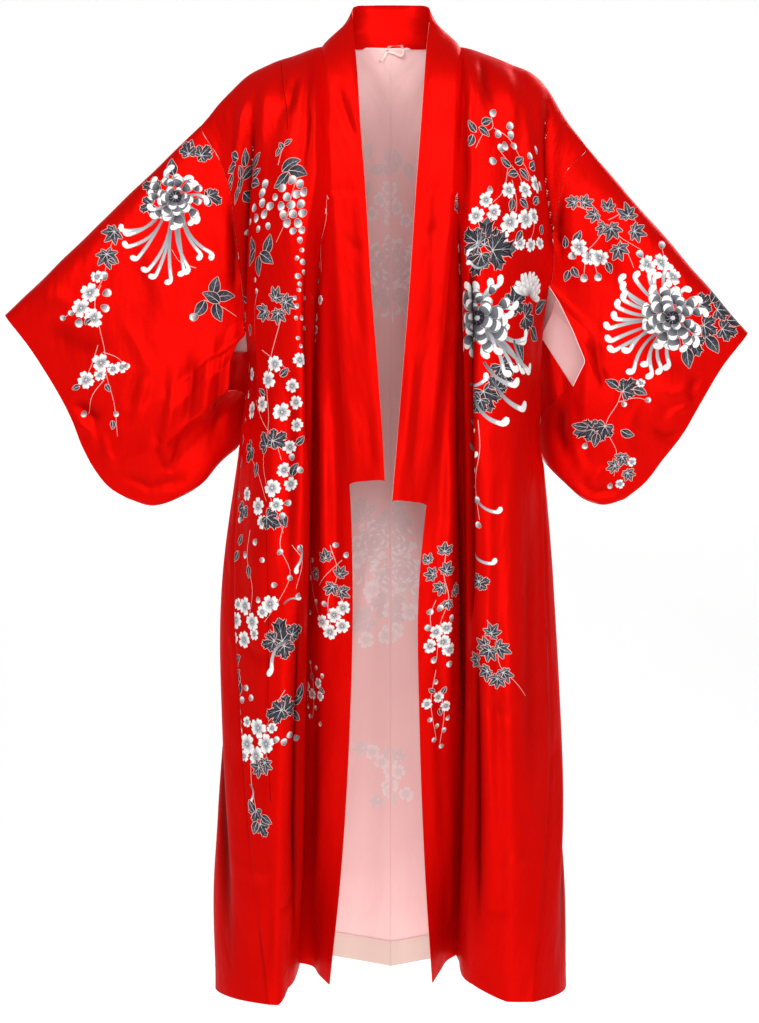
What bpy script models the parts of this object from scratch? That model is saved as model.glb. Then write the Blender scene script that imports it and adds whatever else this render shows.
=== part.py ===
"""A full-length silk kimono robe with wide sleeves, open at the front, filled out as if someone wore it.

Run it with: blender --background --python part.py

Frame: metres, +Z up, +X towards the wearer's left sleeve and -Y towards the front. The origin is the base of
the neck, between the shoulders, which carry the robe. The tables are in millimetres. Their first column is
the height on the wearer, which the cloth's rows follow: from the hem up to the shoulder line, at height 0,
where a row slopes down to the sleeve. Each pair after it is (distance from the centre line, Y).
"""

from typing import NamedTuple

import bmesh
import bpy
import numpy as np

MM = 0.001

# Thickness of each cloth, and the gaps between pieces.
SILK_THICK = 1.2 * MM
LINING_THICK = 1.0 * MM
COLLAR_THICK = 2.4 * MM
TAPE_THICK = 0.8 * MM
SEAM_GAP = 0.3 * MM
COLLAR_GAP = 1.0 * MM
LINING_DEPTH = SILK_THICK + 2 * SEAM_GAP
FACING_DEPTH = LINING_DEPTH + LINING_THICK + 2 * SEAM_GAP
FACING_THICK = 0.8 * MM
LINING_SHORT = 2 * MM
ARMHOLE_TUCK = 0.11
CUFF_TUCK = 0.03

# How the sheets are divided.
ROWS_BELOW = 9
FACING_HEIGHT = 36 * MM
OVERLAP_TIP = -215 * MM
ROWS_ABOVE = (-300, -215, -150, -100, -60, -30, -12, 0)
SPAN_STEPS = (2, 3, 3)
NECK_STEPS = 3
OVERLAP_STEPS = 4
SLEEVE_PLACES = (0.0, 0.08, 0.2, 0.38, 0.58, 0.79, 1.0)
COLLAR_STEPS = 3

# Fullness: how far each rounded stretch reaches, and how deep the sleeves are.
SHOULDER_ROUND = 75 * MM
SLEEVE_ROUND = 0.15
SLEEVE_FULL = 26 * MM
CUFF_FULL = 20 * MM
BOTTOM_FULL = 6 * MM
COLLAR_SWELL = 2 * MM
MOST_SHELL = 1.8


class FrontRow(NamedTuple):
    """A front panel across one height, from the seam with the overlap out to the side seam or armhole."""

    height: float
    inner: tuple
    lip: tuple
    crest: tuple
    seam: tuple


class BackRow(NamedTuple):
    """A back panel across one height, from the centre seam out to the armhole or past the side."""

    height: float
    centre: tuple
    middle: tuple
    outer: tuple
    side: tuple
    turn: tuple
    armhole: tuple


class OverlapRow(NamedTuple):
    """The overlap panel across one height, from its seam with the front to its free or collared edge."""

    height: float
    seam: tuple
    ridge: tuple
    hollow: tuple
    edge: tuple


class Half(NamedTuple):
    """One half of the robe: where its armhole ends and the tables that shape its panels."""

    name: str
    sign: int
    armhole_height: float
    front: tuple
    back: tuple
    overlap: tuple
    hem_rise: dict
    shoulder: tuple
    collar_edge: tuple
    slit_front: tuple
    slit_back: tuple
    sleeve_bottom: tuple
    cuff: tuple
    fold_sag: float


# The hanger loop's tape, laid flat behind the neck: (X, Z) along it.
LOOP = ((-18, -11), (-13, -3), (-9, 1), (-2, -1), (12, -3), (12, 8), (2, 12), (-6, 12), (-8, 7))
LOOP_FRONT = 49 * MM
LOOP_WIDTH = 3.6 * MM

# The neck seam behind the neck, from the centre to the shoulder: (distance from the centre, Y, Z).
NECK_SEAM = ((0, 53, 6), (38, 52, 7), (72, 40, 7), (97, 12, 3))

# The standing collar's free edge behind the neck, from the shoulder to the centre: (distance, Y, Z).
NECK_EDGE = ((54, -8, 38), (55, 12, 54), (51, 33, 64), (32, 48, 67), (0, 52, 68))

RIGHT = Half(
    name="right",
    sign=-1,
    armhole_height=-400 * MM,
    front=(
        FrontRow(-1325, (131, 22), (144, -76), (157, -102), (171, -104)),
        FrontRow(-1150, (126, 0), (136, -92), (164, -102), (192, -86)),
        FrontRow(-950, (121, -15), (131, -98), (168, -98), (211, -64)),
        FrontRow(-750, (115, -25), (125, -100), (170, -95), (223, -42)),
        FrontRow(-550, (110, -32), (120, -100), (165, -88), (212, -14)),
        FrontRow(-450, (108, -37), (119, -101), (164, -86), (202, -4)),
        FrontRow(-400, (106, -42), (119, -102), (166, -84), (206, -4)),
        FrontRow(-300, (99, -62), (117, -103), (172, -80), (214, -10)),
        FrontRow(-200, (88, -76), (112, -97), (174, -76), (219, -18)),
        FrontRow(-110, (94, -60), (106, -82), (173, -66), (229, -26)),
        FrontRow(-50, (96, -52), (107, -66), (171, -56), (246, -26)),
        FrontRow(0, (97, -48), (108, -56), (170, -46), (268, -16)),
    ),
    back=(
        BackRow(-1325, (0, 85), (120, 82), (212, 50), (252, -12), (220, -72), (171, -104)),
        BackRow(-1150, (0, 80), (120, 77), (210, 46), (249, -6), (230, -54), (192, -86)),
        BackRow(-950, (0, 76), (118, 73), (204, 44), (246, 2), (238, -34), (211, -64)),
        BackRow(-750, (0, 72), (112, 69), (192, 46), (236, 12), (240, -14), (223, -42)),
        BackRow(-550, (0, 68), (100, 66), (165, 50), (204, 22), (214, 2), (212, -14)),
        BackRow(-450, (0, 70), (92, 68), (152, 56), (190, 32), (202, 12), (202, -4)),
        BackRow(-400, (0, 72), (90, 70), (150, 60), (186, 40), (202, 18), (206, -4)),
        BackRow(-300, (0, 80), (85, 78), (145, 66), (188, 44), (204, 30), (214, 14)),
        BackRow(-200, (0, 82), (82, 80), (145, 68), (190, 48), (207, 38), (219, 28)),
        BackRow(-110, (0, 74), (80, 72), (140, 64), (195, 46), (214, 38), (229, 32)),
        BackRow(-50, (0, 66), (80, 64), (140, 56), (205, 38), (228, 32), (246, 28)),
        BackRow(0, (0, 60), (80, 58), (150, 44), (220, 26), (246, 20), (268, 14)),
    ),
    overlap=(
        OverlapRow(-1325, (131, 22), (116, 18), (103, -14), (88, -46)),
        OverlapRow(-1150, (126, 0), (108, -22), (90, -42), (70, -54)),
        OverlapRow(-950, (121, -15), (103, -40), (81, -56), (58, -62)),
        OverlapRow(-750, (115, -25), (98, -52), (76, -60), (54, -66)),
        OverlapRow(-620, (111, -30), (95, -58), (78, -60), (58, -70)),
        OverlapRow(-550, (110, -32), (93, -60), (79, -62), (64, -76)),
        OverlapRow(-400, (106, -42), (96, -62), (85, -68), (74, -81)),
        OverlapRow(-300, (99, -62), (94, -70), (88, -76), (81, -82)),
        OverlapRow(-215, (89, -74), (88, -76), (87, -77), (85.5, -79)),
    ),
    hem_rise={"inner": 16, "lip": 8, "crest": -9, "seam": -8, "centre": -4, "middle": 12, "edge": 4},
    shoulder=((97, 12, 3), (142, 8, -12), (170, 4, -22), (214, 1, -49), (240, 0, -76), (268, 0, -109)),
    collar_edge=(
        (-612, 9, -84, -606),
        (-550, 12, -88, -550),
        (-450, 19, -91, -450),
        (-350, 27, -93, -350),
        (-200, 36, -90, -200),
        (-110, 43, -80, -110),
        (-50, 47, -62, -42),
        (-15, 51, -34, 5),
        (0, 54, -8, 38),
    ),
    slit_front=((216, -16, -412), (226, -30, -440), (229, -26, -482), (219, 8, -480), (209, 30, -484),
                (207, 34, -520), (212, 32, -542), (213, 32, -553)),
    slit_back=((204, 26, -416), (200, 46, -444), (197, 56, -480), (198, 60, -520), (203, 54, -545),
               (205, 52, -556)),
    sleeve_bottom=((224, -566), (246, -586), (267, -611), (303, -634), (343, -643), (372, -635)),
    cuff=((546, -374), (514, -414), (478, -470), (450, -525), (437, -560), (419, -594), (400, -617),
          (372, -635)),
    fold_sag=-2 * MM,
)

LEFT = Half(
    name="left",
    sign=1,
    armhole_height=-335 * MM,
    front=(
        FrontRow(-1325, (96, 42), (115, -74), (160, -106), (199, -104)),
        FrontRow(-1150, (100, 5), (118, -93), (166, -104), (216, -80)),
        FrontRow(-950, (104, -12), (118, -99), (168, -100), (227, -50)),
        FrontRow(-750, (104, -25), (115, -100), (165, -96), (217, -40)),
        FrontRow(-550, (101, -35), (111, -100), (162, -90), (213, -14)),
        FrontRow(-400, (99, -45), (104, -103), (166, -86), (215, -6)),
        FrontRow(-300, (95, -60), (103, -103), (170, -82), (228, -10)),
        FrontRow(-200, (91, -76), (105, -97), (172, -76), (231, -20)),
        FrontRow(-110, (94, -62), (101, -84), (170, -66), (237, -26)),
        FrontRow(-50, (96, -54), (101, -68), (168, -56), (248, -26)),
        FrontRow(0, (97, -50), (103, -54), (165, -46), (276, -14)),
    ),
    back=(
        BackRow(-1325, (0, 85), (120, 82), (212, 50), (252, -12), (234, -68), (199, -104)),
        BackRow(-1150, (0, 80), (120, 77), (208, 46), (248, -4), (242, -46), (216, -80)),
        BackRow(-950, (0, 76), (114, 73), (198, 44), (239, 4), (240, -24), (227, -50)),
        BackRow(-750, (0, 72), (110, 69), (186, 46), (228, 12), (232, -12), (217, -40)),
        BackRow(-550, (0, 68), (100, 66), (165, 50), (204, 22), (215, 2), (213, -14)),
        BackRow(-400, (0, 72), (90, 70), (150, 60), (196, 36), (212, 14), (215, -6)),
        BackRow(-300, (0, 80), (85, 78), (150, 64), (198, 42), (217, 24), (228, 4)),
        BackRow(-200, (0, 82), (82, 80), (145, 68), (198, 46), (217, 36), (231, 22)),
        BackRow(-110, (0, 74), (80, 72), (140, 64), (200, 46), (220, 38), (237, 30)),
        BackRow(-50, (0, 66), (80, 64), (140, 56), (205, 38), (230, 32), (248, 28)),
        BackRow(0, (0, 60), (80, 58), (150, 44), (225, 26), (252, 20), (276, 12)),
    ),
    overlap=(
        OverlapRow(-1325, (96, 42), (84, 34), (72, 8), (60, -22)),
        OverlapRow(-1150, (100, 5), (84, -20), (66, -38), (48, -48)),
        OverlapRow(-950, (104, -12), (88, -38), (64, -52), (40, -58)),
        OverlapRow(-750, (104, -25), (88, -50), (63, -60), (39, -64)),
        OverlapRow(-650, (103, -29), (86, -56), (66, -62), (48, -67)),
        OverlapRow(-550, (101, -35), (86, -60), (73, -64), (60, -76)),
        OverlapRow(-400, (99, -45), (90, -62), (82, -68), (73, -81)),
        OverlapRow(-300, (95, -60), (90, -72), (86, -76), (81, -82)),
        OverlapRow(-215, (91.5, -74), (90.5, -76), (89.5, -77), (88, -79)),
    ),
    hem_rise={"inner": 22, "lip": 12, "crest": -3, "seam": -4, "centre": -4, "middle": 12, "edge": 0},
    shoulder=((97, 12, 3), (135, 8, -9), (165, 4, -21), (211, 1, -46), (248, 0, -102), (276, 0, -139)),
    collar_edge=(
        (-640, 1, -84, -634),
        (-550, 8, -88, -550),
        (-450, 16, -91, -450),
        (-350, 24, -93, -350),
        (-200, 34, -90, -200),
        (-110, 41, -80, -110),
        (-50, 46, -62, -42),
        (-15, 50, -34, 5),
        (0, 54, -8, 38),
    ),
    slit_front=((236, -24, -358), (254, -38, -398), (271, -42, -440), (254, -30, -477), (235, -2, -494),
                (218, 26, -508), (213, 34, -536), (214, 34, -560), (215, 34, -572)),
    slit_back=((222, 26, -352), (211, 48, -392), (205, 58, -440), (202, 60, -500), (205, 55, -554),
               (207, 54, -566)),
    sleeve_bottom=((226, -590), (249, -613), (276, -636), (300, -643), (330, -635)),
    cuff=((505, -399), (470, -443), (437, -499), (412, -543), (384, -579), (360, -611), (330, -635)),
    fold_sag=7 * MM,
)

SILK_RED = (0.62, 0.006, 0.004)
LINING_PINK = (0.78, 0.50, 0.48)
FACING_CREAM = (0.80, 0.62, 0.50)
TAPE_PINK = (0.82, 0.60, 0.56)


def slopes(knots, values):
    """The slope of a smooth line through the values at each knot, from its neighbours on both sides."""
    step = np.diff(knots)[:, None]
    rise = np.diff(values, axis=0) / step
    inner = (rise[:-1] * step[1:] + rise[1:] * step[:-1]) / (step[1:] + step[:-1])
    return np.vstack([rise[:1], inner, rise[-1:]])


def smooth(knots, values, places):
    """Points of the smooth line through the values (one row for each knot) at the places between them."""
    knots, values = np.asarray(knots, float), np.asarray(values, float)
    slope = slopes(knots, values)
    places = np.clip(np.atleast_1d(places), knots[0], knots[-1])
    first = np.clip(np.searchsorted(knots, places, side="right") - 1, 0, len(knots) - 2)
    step = (knots[first + 1] - knots[first])[:, None]
    t = (places - knots[first])[:, None] / step
    start, end = values[first], values[first + 1]
    swing = t * (1 - t) * ((1 - t) * slope[first] - t * slope[first + 1]) * step
    return start + (end - start) * t * t * (3 - 2 * t) + swing


def along(points):
    """The distance along a line of points, from 0 at its start to 1 at its end."""
    steps = np.linalg.norm(np.diff(np.asarray(points, float), axis=0), axis=1)
    return np.concatenate([[0.0], np.cumsum(steps)]) / steps.sum()


def divided(points, places):
    """The smooth line through the points, read at the places, which run from 0 to 1 along it."""
    return smooth(along(points), points, places)


def column(rows, name, height):
    """The (distance, Y) of one named line of a table at a height."""
    heights = [row.height * MM for row in rows]
    return smooth(heights, [np.multiply(getattr(row, name), MM) for row in rows], height)[0]


def rounding(share):
    """A quarter round: 0 at its start, 1 from a share of 1 on."""
    left = 1 - np.clip(share, 0, 1)
    return np.sqrt(1 - left * left)


def shoulder_point(half, distance):
    """The point of the shoulder line at a distance from the centre, or of the neck seam inside it."""
    line = np.array(NECK_SEAM[:-1] + half.shoulder, float) * MM
    return smooth(line[:, 0], line, distance)[0]


def row_heights(half):
    """The rows' heights from the hem to the shoulder line, with one row at the facing's upper edge."""
    hem = half.front[0].height * MM
    below = np.linspace(hem + FACING_HEIGHT, half.armhole_height, ROWS_BELOW)
    above = [height * MM for height in ROWS_ABOVE]
    return np.concatenate([[hem], below, above])


def actual_height(half, height, top, rise):
    """A row's real height on one line, which ends at the top and whose hem is raised by rise."""
    hem, armhole = half.front[0].height * MM, half.armhole_height
    if height > armhole:
        return armhole + (top - armhole) * (height - armhole) / -armhole
    return height + rise * (height - armhole) / (hem - armhole)


def span_places():
    """The front panel's columns, counted in spans between its named lines."""
    parts = [np.arange(steps) / steps + span for span, steps in enumerate(SPAN_STEPS)]
    return np.concatenate([*parts, [len(SPAN_STEPS)]])


def front_tops(half):
    """The distances at which a front panel's columns cross the shoulder line."""
    line = [getattr(half.front[-1], name)[0] * MM for name in FrontRow._fields[1:]]
    return np.interp(span_places(), range(len(line)), line)


def raised(half, height, flat, tops, rises):
    """A row's points: drawn in to their tops as it nears the shoulder line, with their real heights."""
    share = rounding(-height / SHOULDER_ROUND)
    points = []
    for place, distance, rise in zip(flat, tops, rises):
        top = shoulder_point(half, distance)
        across = top[:2] + (place - top[:2]) * share
        points.append((*across, actual_height(half, height, top[2], rise)))
    return np.array(points)


def front_row(half, height):
    """The points of a front panel's row, from the overlap seam to the side seam or armhole."""
    names = FrontRow._fields[1:]
    line = np.array([column(half.front, name, height) for name in names])
    places = np.interp(span_places(), range(len(names)), along(line))
    rises = np.interp(span_places(), range(len(names)), [half.hem_rise[name] * MM for name in names])
    return raised(half, height, divided(line, places), front_tops(half), rises)


def back_row(half, height):
    """The points of a back panel's row, from the side seam or armhole to the centre seam."""
    line = [column(half.back, name, height) for name in BackRow._fields[1:]]
    if height <= half.armhole_height:
        line[-1] = column(half.front, "seam", height)
    shoulder = front_tops(half)[::-1]
    tops = np.concatenate([shoulder, np.linspace(shoulder[-1], 0, NECK_STEPS + 1)[1:]])
    even = np.linspace(1, 0, len(tops))
    blend = np.clip(1 - height / half.armhole_height, 0, 1)
    places = even + (tops / tops[0] - even) * blend * blend * (3 - 2 * blend)
    names = ("centre", "middle", "crest", "seam")
    rises = np.interp(places, (0, 0.22, 0.6, 1), [half.hem_rise[name] * MM for name in names])
    return raised(half, height, divided(line, places), tops, rises)


def overlap_row(half, height):
    """The points of an overlap panel's row, from its seam with the front to its edge."""
    line = np.array([column(half.overlap, name, height) for name in OverlapRow._fields[1:]])
    line[0] = front_row(half, height)[0, :2]
    places = np.linspace(0, 1, OVERLAP_STEPS + 1)
    rises = half.hem_rise["inner"] + (half.hem_rise["edge"] - half.hem_rise["inner"]) * places
    heights = [actual_height(half, height, 0.0, rise * MM) for rise in rises]
    return np.column_stack([divided(line, places), heights])


def neckline(half, height):
    """The point of the front neckline at a height, where the collar is sewn on."""
    return overlap_row(half, height)[-1] if height <= OVERLAP_TIP else front_row(half, height)[0]


def placed(half, points):
    """The points in the robe's frame, on this half's side of the centre line."""
    return np.asarray(points) * (half.sign, 1, 1)


def grid_faces(rows, columns, turned, ring=False):
    """Triangles between neighbouring rows of a grid of points, turned round where the half is mirrored."""
    faces = []
    for i in range(rows if ring else rows - 1):
        near, far = i * columns, (i + 1) % rows * columns
        for j in range(columns - 1):
            faces.append((near + j, near + j + 1, far + j + 1))
            faces.append((near + j, far + j + 1, far + j))
    return [face[::-1] for face in faces] if turned else faces


def material(name, colour, roughness):
    """A cloth's plain material."""
    made = bpy.data.materials.get(name) or bpy.data.materials.new(name)
    made.use_nodes = True
    shader = made.node_tree.nodes["Principled BSDF"]
    shader.inputs["Base Color"].default_value = (*colour, 1)
    shader.inputs["Roughness"].default_value = roughness
    shader.inputs["Metallic"].default_value = 0.0
    made.diffuse_color = (*colour, 1)
    return made


def silk():
    return material("red_silk", SILK_RED, 0.45)


def lining_cloth():
    return material("pink_lining", LINING_PINK, 0.6)


def moved_in(points, faces, depth):
    """The points of a sheet moved in from its outer face, to lie a depth below each of its faces."""
    sheet_mesh = bmesh.new()
    corners = [sheet_mesh.verts.new(point) for point in points]
    for face in faces:
        sheet_mesh.faces.new([corners[k] for k in face])
    sheet_mesh.normal_update()
    moved = [tuple(v.co - v.normal * depth * min(v.calc_shell_factor(), MOST_SHELL)) for v in corners]
    sheet_mesh.free()
    return np.array(moved)


def cloth_wall(name, points, faces, thickness, cloth, even=True):
    """A cloth wall: the sheet is its outer face, and it is thickened inwards, evenly or thinner at folds."""
    mesh = bpy.data.meshes.new(name)
    mesh.from_pydata([tuple(point) for point in points], [], faces)
    mesh.shade_smooth()
    mesh.materials.append(cloth)
    wall = bpy.data.objects.new(name, mesh)
    bpy.context.scene.collection.objects.link(wall)
    solid = wall.modifiers.new("wall", "SOLIDIFY")
    solid.thickness = thickness
    solid.offset = -1
    solid.use_even_offset = even


def welded(grids):
    """One list of points and faces from several, with the points that meet made one."""
    points, faces, found = [], [], {}
    for grid_points, grid in grids:
        index = []
        for point in grid_points:
            key = tuple(np.round(point, 6))
            if key not in found:
                found[key] = len(points)
                points.append(point)
            index.append(found[key])
        faces += [tuple(index[k] for k in face) for face in grid]
    return np.array(points), faces


def body_rows(half):
    """The front and back rows of one half, which meet at the side seam and along the shoulder."""
    heights = row_heights(half)
    front = [front_row(half, height) for height in heights]
    back = [back_row(half, height) for height in heights]
    for front_line, back_line, height in zip(front, back, heights):
        back_line[-1, 0] = SEAM_GAP / 2
        if height <= half.armhole_height:
            back_line[0] = front_line[-1]
    back[-1][: len(front[-1])] = front[-1][::-1]
    return front, back


def sheet(half, rows, ring=False):
    """The placed points and the faces of a sheet made of rows."""
    points = placed(half, np.concatenate(rows))
    return points, grid_faces(len(rows), len(rows[0]), half.sign < 0, ring)


def body_sheet(half):
    """A body panel's points and faces, with the back's own after the front's."""
    front, back = body_rows(half)
    return welded([sheet(half, back), sheet(half, front)])


def body(half):
    """A body panel, cut in one length from the front hem over the shoulder to the back hem."""
    cloth_wall(f"body_{half.name}", *body_sheet(half), SILK_THICK, silk())


def inside_back(half, depth, rows):
    """The first rows of a back panel, moved in from its outer face by a depth and a little short at the hem."""
    columns = len(body_rows(half)[1][0])
    points = moved_in(*body_sheet(half), depth)[: rows * columns]
    points[:columns, 2] += LINING_SHORT
    return points, grid_faces(rows, columns, half.sign < 0)


def back_lining(half):
    """The lining behind a back panel, which shows through the open front."""
    points, faces = inside_back(half, LINING_DEPTH, len(row_heights(half)))
    cloth_wall(f"lining_{half.name}", points, faces, LINING_THICK, lining_cloth())


def overlap(half):
    """The narrow panel that a front is widened with, which ends in a point under the collar."""
    heights = [height for height in row_heights(half) if height <= OVERLAP_TIP]
    rows = [overlap_row(half, height)[::-1] for height in heights]
    for row in rows:
        row[-1] += (row[-2] - row[-1]) * 3 * SEAM_GAP / np.linalg.norm(row[-2] - row[-1])
    cloth_wall(f"overlap_{half.name}", *sheet(half, rows), SILK_THICK, silk())


def collar_row(seam, edge):
    """Points across the collar band, from just off its seam to its free edge, swelling a little between."""
    places = np.linspace(COLLAR_GAP / np.linalg.norm(edge - seam), 1, COLLAR_STEPS + 1)
    outward = np.array([0, -COLLAR_SWELL, COLLAR_SWELL])
    return np.array([seam + (edge - seam) * k + outward * 4 * k * (1 - k) for k in places])


def collar_half(half):
    """The collar's rows from one front end up to the centre of the back neck."""
    table = np.array(half.collar_edge, float) * MM
    end = table[0, 0]
    heights = [end] + [height for height in row_heights(half) if height > end]
    rows = [collar_row(neckline(half, h), smooth(table[:, 0], table[:, 1:], h)[0]) for h in heights]
    neck = np.linspace(half.shoulder[0][0] * MM, 0, NECK_STEPS + 1)[1:]
    edges = divided(np.array(NECK_EDGE) * MM, np.linspace(0, 1, NECK_STEPS + 1))[1:]
    rows += [collar_row(shoulder_point(half, x), edge) for x, edge in zip(neck, edges)]
    return [placed(half, row) for row in rows]


def collar():
    """The long band that runs up one front, round the back of the neck and down the other."""
    rows = collar_half(RIGHT) + collar_half(LEFT)[-2::-1]
    points = np.concatenate(rows)
    faces = grid_faces(len(rows), len(rows[0]), False)
    cloth_wall("collar", points, faces, COLLAR_THICK, silk())


def sleeve_layer(half, inner, side):
    """The rows of a sleeve's layer, from its fold to its bottom seam: side -1 is the front and 1 the back."""
    down = along(inner)
    tip_to_corner = np.array([(x, 0, z) for x, z in half.cuff]) * MM
    cuff = divided(tip_to_corner, down)
    cuff[:, 1] = side * CUFF_FULL * rounding(down / SLEEVE_ROUND) * (1 - 0.75 * down)
    seam = np.array([(x, 0, z) for x, z in half.sleeve_bottom]) * MM
    bottom = divided(np.vstack([inner[-1] * (1, 0, 1), seam]), SLEEVE_PLACES)
    rows = []
    for q, start, end in zip(down, inner, cuff):
        row = []
        for s, low in zip(SLEEVE_PLACES, bottom):
            low_y = side * BOTTOM_FULL + (inner[-1, 1] - side * BOTTOM_FULL) * (1 - s) ** 3
            low_point = np.array([low[0], low_y, low[2]])
            fold = inner[0] + (cuff[0] - inner[0]) * s
            fold[2] -= half.fold_sag * 4 * s * (1 - s)
            across = start + (end - start) * s
            along_q = fold + (low_point - fold) * q
            corners = fold * (1 - q) + (inner[-1] + (cuff[-1] - inner[-1]) * s) * q
            point = across + along_q - corners
            point[1] += side * SLEEVE_FULL * 4 * s * (1 - s) * rounding(q / SLEEVE_ROUND) * (1 - q)
            row.append(point)
        rows.append(np.array(row))
    return rows


def sleeve_rows(half):
    """A sleeve's rows, as a ring from the front's bottom seam up over the fold and down the back."""
    front, back = body_rows(half)
    above = [i for i, height in enumerate(row_heights(half)) if height >= half.armhole_height][::-1]
    off = np.array([2 * SEAM_GAP, 0, 0])
    slit_gap = np.array([0, 2 * MM, 0])
    front_edge = [front[i][-1] + off for i in above]
    back_edge = [back[i][0] + off for i in above]
    front_edge[-1] = front_edge[-1] + off - slit_gap
    back_edge[-1] = back_edge[-1] + off + slit_gap
    front_inner = np.vstack([front_edge, np.array(half.slit_front) * MM])
    back_inner = np.vstack([back_edge, np.array(half.slit_back) * MM])
    front_layer = sleeve_layer(half, front_inner, -1)
    back_layer = sleeve_layer(half, back_inner, 1)
    return front_layer[::-1] + back_layer[1:]


def sleeve(half):
    """A sleeve, one length folded along its top and sewn along its bottom, with its lining inside."""
    rows = np.array(sleeve_rows(half))
    cloth_wall(f"sleeve_{half.name}", *sheet(half, rows, ring=True), SILK_THICK, silk(), even=False)
    for edge, beside, tuck in ((0, 1, ARMHOLE_TUCK), (-1, -2, CUFF_TUCK)):
        rows[:, edge] += (rows[:, beside] - rows[:, edge]) * tuck
    points, faces = sheet(half, rows[1:-1])
    points = moved_in(points, faces, LINING_DEPTH)
    cloth_wall(f"sleeve_lining_{half.name}", points, faces, LINING_THICK, lining_cloth(), even=False)


def hem_facing(half):
    """The pale band that faces the inside of a back panel's hem."""
    points, faces = inside_back(half, FACING_DEPTH, 2)
    cloth = material("cream_facing", FACING_CREAM, 0.6)
    cloth_wall(f"hem_facing_{half.name}", points, faces, FACING_THICK, cloth)


def hanger_loop():
    """The narrow tape loop stitched inside the back of the neck, to hang the robe by."""
    line = divided(np.array(LOOP) * MM, np.linspace(0, 1, 2 * len(LOOP)))
    heading = np.gradient(line, axis=0)
    heading /= np.linalg.norm(heading, axis=1)[:, None]
    side = heading[:, ::-1] * (-1, 1) * LOOP_WIDTH / 2
    flat = np.stack([line - side, line + side], axis=1).reshape(-1, 2)
    points = np.insert(flat, 1, LOOP_FRONT, axis=1)
    faces = grid_faces(len(line), 2, False)
    cloth_wall("hanger_loop", points, faces, TAPE_THICK, material("tape", TAPE_PINK, 0.4))


def main():
    """Clears the scene and makes every piece of the robe."""
    for obj in list(bpy.data.objects):
        bpy.data.objects.remove(obj)
    for half in (RIGHT, LEFT):
        body(half)
        back_lining(half)
        overlap(half)
        sleeve(half)
        hem_facing(half)
    collar()
    hanger_loop()


main()
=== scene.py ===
"""The looks of a full-length silk kimono robe: printed red silk over a pale pink lining.

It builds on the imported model. Frame: metres, +Z up, +X towards the wearer's left sleeve and -Y towards the
front, with the origin at the base of the neck. The tables are in millimetres, except where one says that it
is in squares of the print chart.
"""

import logging
from dataclasses import dataclass, field, replace
from enum import Enum
from typing import Any, NamedTuple

import bpy
import numpy as np
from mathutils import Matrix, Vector
from mathutils.geometry import delaunay_2d_cdt
from mathutils.kdtree import KDTree


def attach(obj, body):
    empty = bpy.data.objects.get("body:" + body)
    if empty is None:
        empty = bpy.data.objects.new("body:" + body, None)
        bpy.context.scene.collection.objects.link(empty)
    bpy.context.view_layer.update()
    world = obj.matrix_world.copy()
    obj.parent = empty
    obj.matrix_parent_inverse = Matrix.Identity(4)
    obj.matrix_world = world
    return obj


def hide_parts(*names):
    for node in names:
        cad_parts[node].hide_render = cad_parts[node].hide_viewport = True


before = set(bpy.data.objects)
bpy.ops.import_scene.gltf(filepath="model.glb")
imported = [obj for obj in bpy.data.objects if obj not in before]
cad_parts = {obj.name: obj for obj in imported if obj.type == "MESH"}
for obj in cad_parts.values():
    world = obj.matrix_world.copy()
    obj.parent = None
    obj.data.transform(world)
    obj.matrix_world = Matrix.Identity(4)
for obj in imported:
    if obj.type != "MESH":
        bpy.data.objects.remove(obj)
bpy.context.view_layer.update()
log = logging.getLogger("kimono")

MM = 0.001
Array = np.ndarray

# Thickness of each cloth, and the gaps between pieces.
SILK_THICK = 1.2 * MM
LINING_THICK = 0.9 * MM
FACING_THICK = 0.8 * MM
COLLAR_THICK = 2.4 * MM
SEAM_GAP = 0.3 * MM
LINING_DEPTH = SILK_THICK + 2 * SEAM_GAP
FACING_DEPTH = LINING_DEPTH + LINING_THICK + 2 * SEAM_GAP

# Where panels end, and how full the rounded stretches are.
OVERLAP_TIP = -215 * MM
FACING_HEIGHT = 36 * MM
HEM_STITCH = 30 * MM
FLAP_THICK = 1.0 * MM
PIPING_RADIUS = 0.55 * MM
SEAM_SINK = 2.2 * MM
SLEEVE_ROOM = 7 * MM
NECK_TUCK = 1.4 * MM
SHOULDER_ROUND = 75 * MM
SLEEVE_ROUND = 0.15
SLEEVE_FULL = 26 * MM
CUFF_FULL = 20 * MM
BOTTOM_ROUND = 0.05
COLLAR_SWELL = 2.6 * MM

# The depth of a fold, in millimetres, at which the shade painted into the silk inside it is darkest.
PAINTED_SHADE_DEPTH = 12.0

# How finely the sheets are divided.
ROW_STEP = 5.2 * MM
SHOULDER_ROWS = 22
SPAN_STEPS = (14, 14, 18)
NECK_STEPS = 16
OVERLAP_STEPS = 14
COLLAR_STEPS = 13
COLLAR_NECK_STEPS = 22
SLEEVE_STEP = 4.5 * MM
FLAP_STEPS = 12

# How many rows from the fold and from the bottom seam a sleeve's two layers run together.
LAYERS_MEET = 5

# How many columns in from the seam with the body the sleeve linings start.
LINING_START = {"right": 8, "left": 3}


class FrontRow(NamedTuple):
    """A front panel across one height, from the seam with the overlap out to the side seam or armhole."""

    height: float
    inner: tuple
    lip: tuple
    crest: tuple
    seam: tuple


class BackRow(NamedTuple):
    """A back panel across one height, from the centre seam out to the armhole or past the side."""

    height: float
    centre: tuple
    middle: tuple
    outer: tuple
    side: tuple
    turn: tuple
    armhole: tuple


class OverlapRow(NamedTuple):
    """The overlap panel across one height, from its seam with the front to its free or collared edge."""

    height: float
    seam: tuple
    ridge: tuple
    hollow: tuple
    edge: tuple


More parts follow.
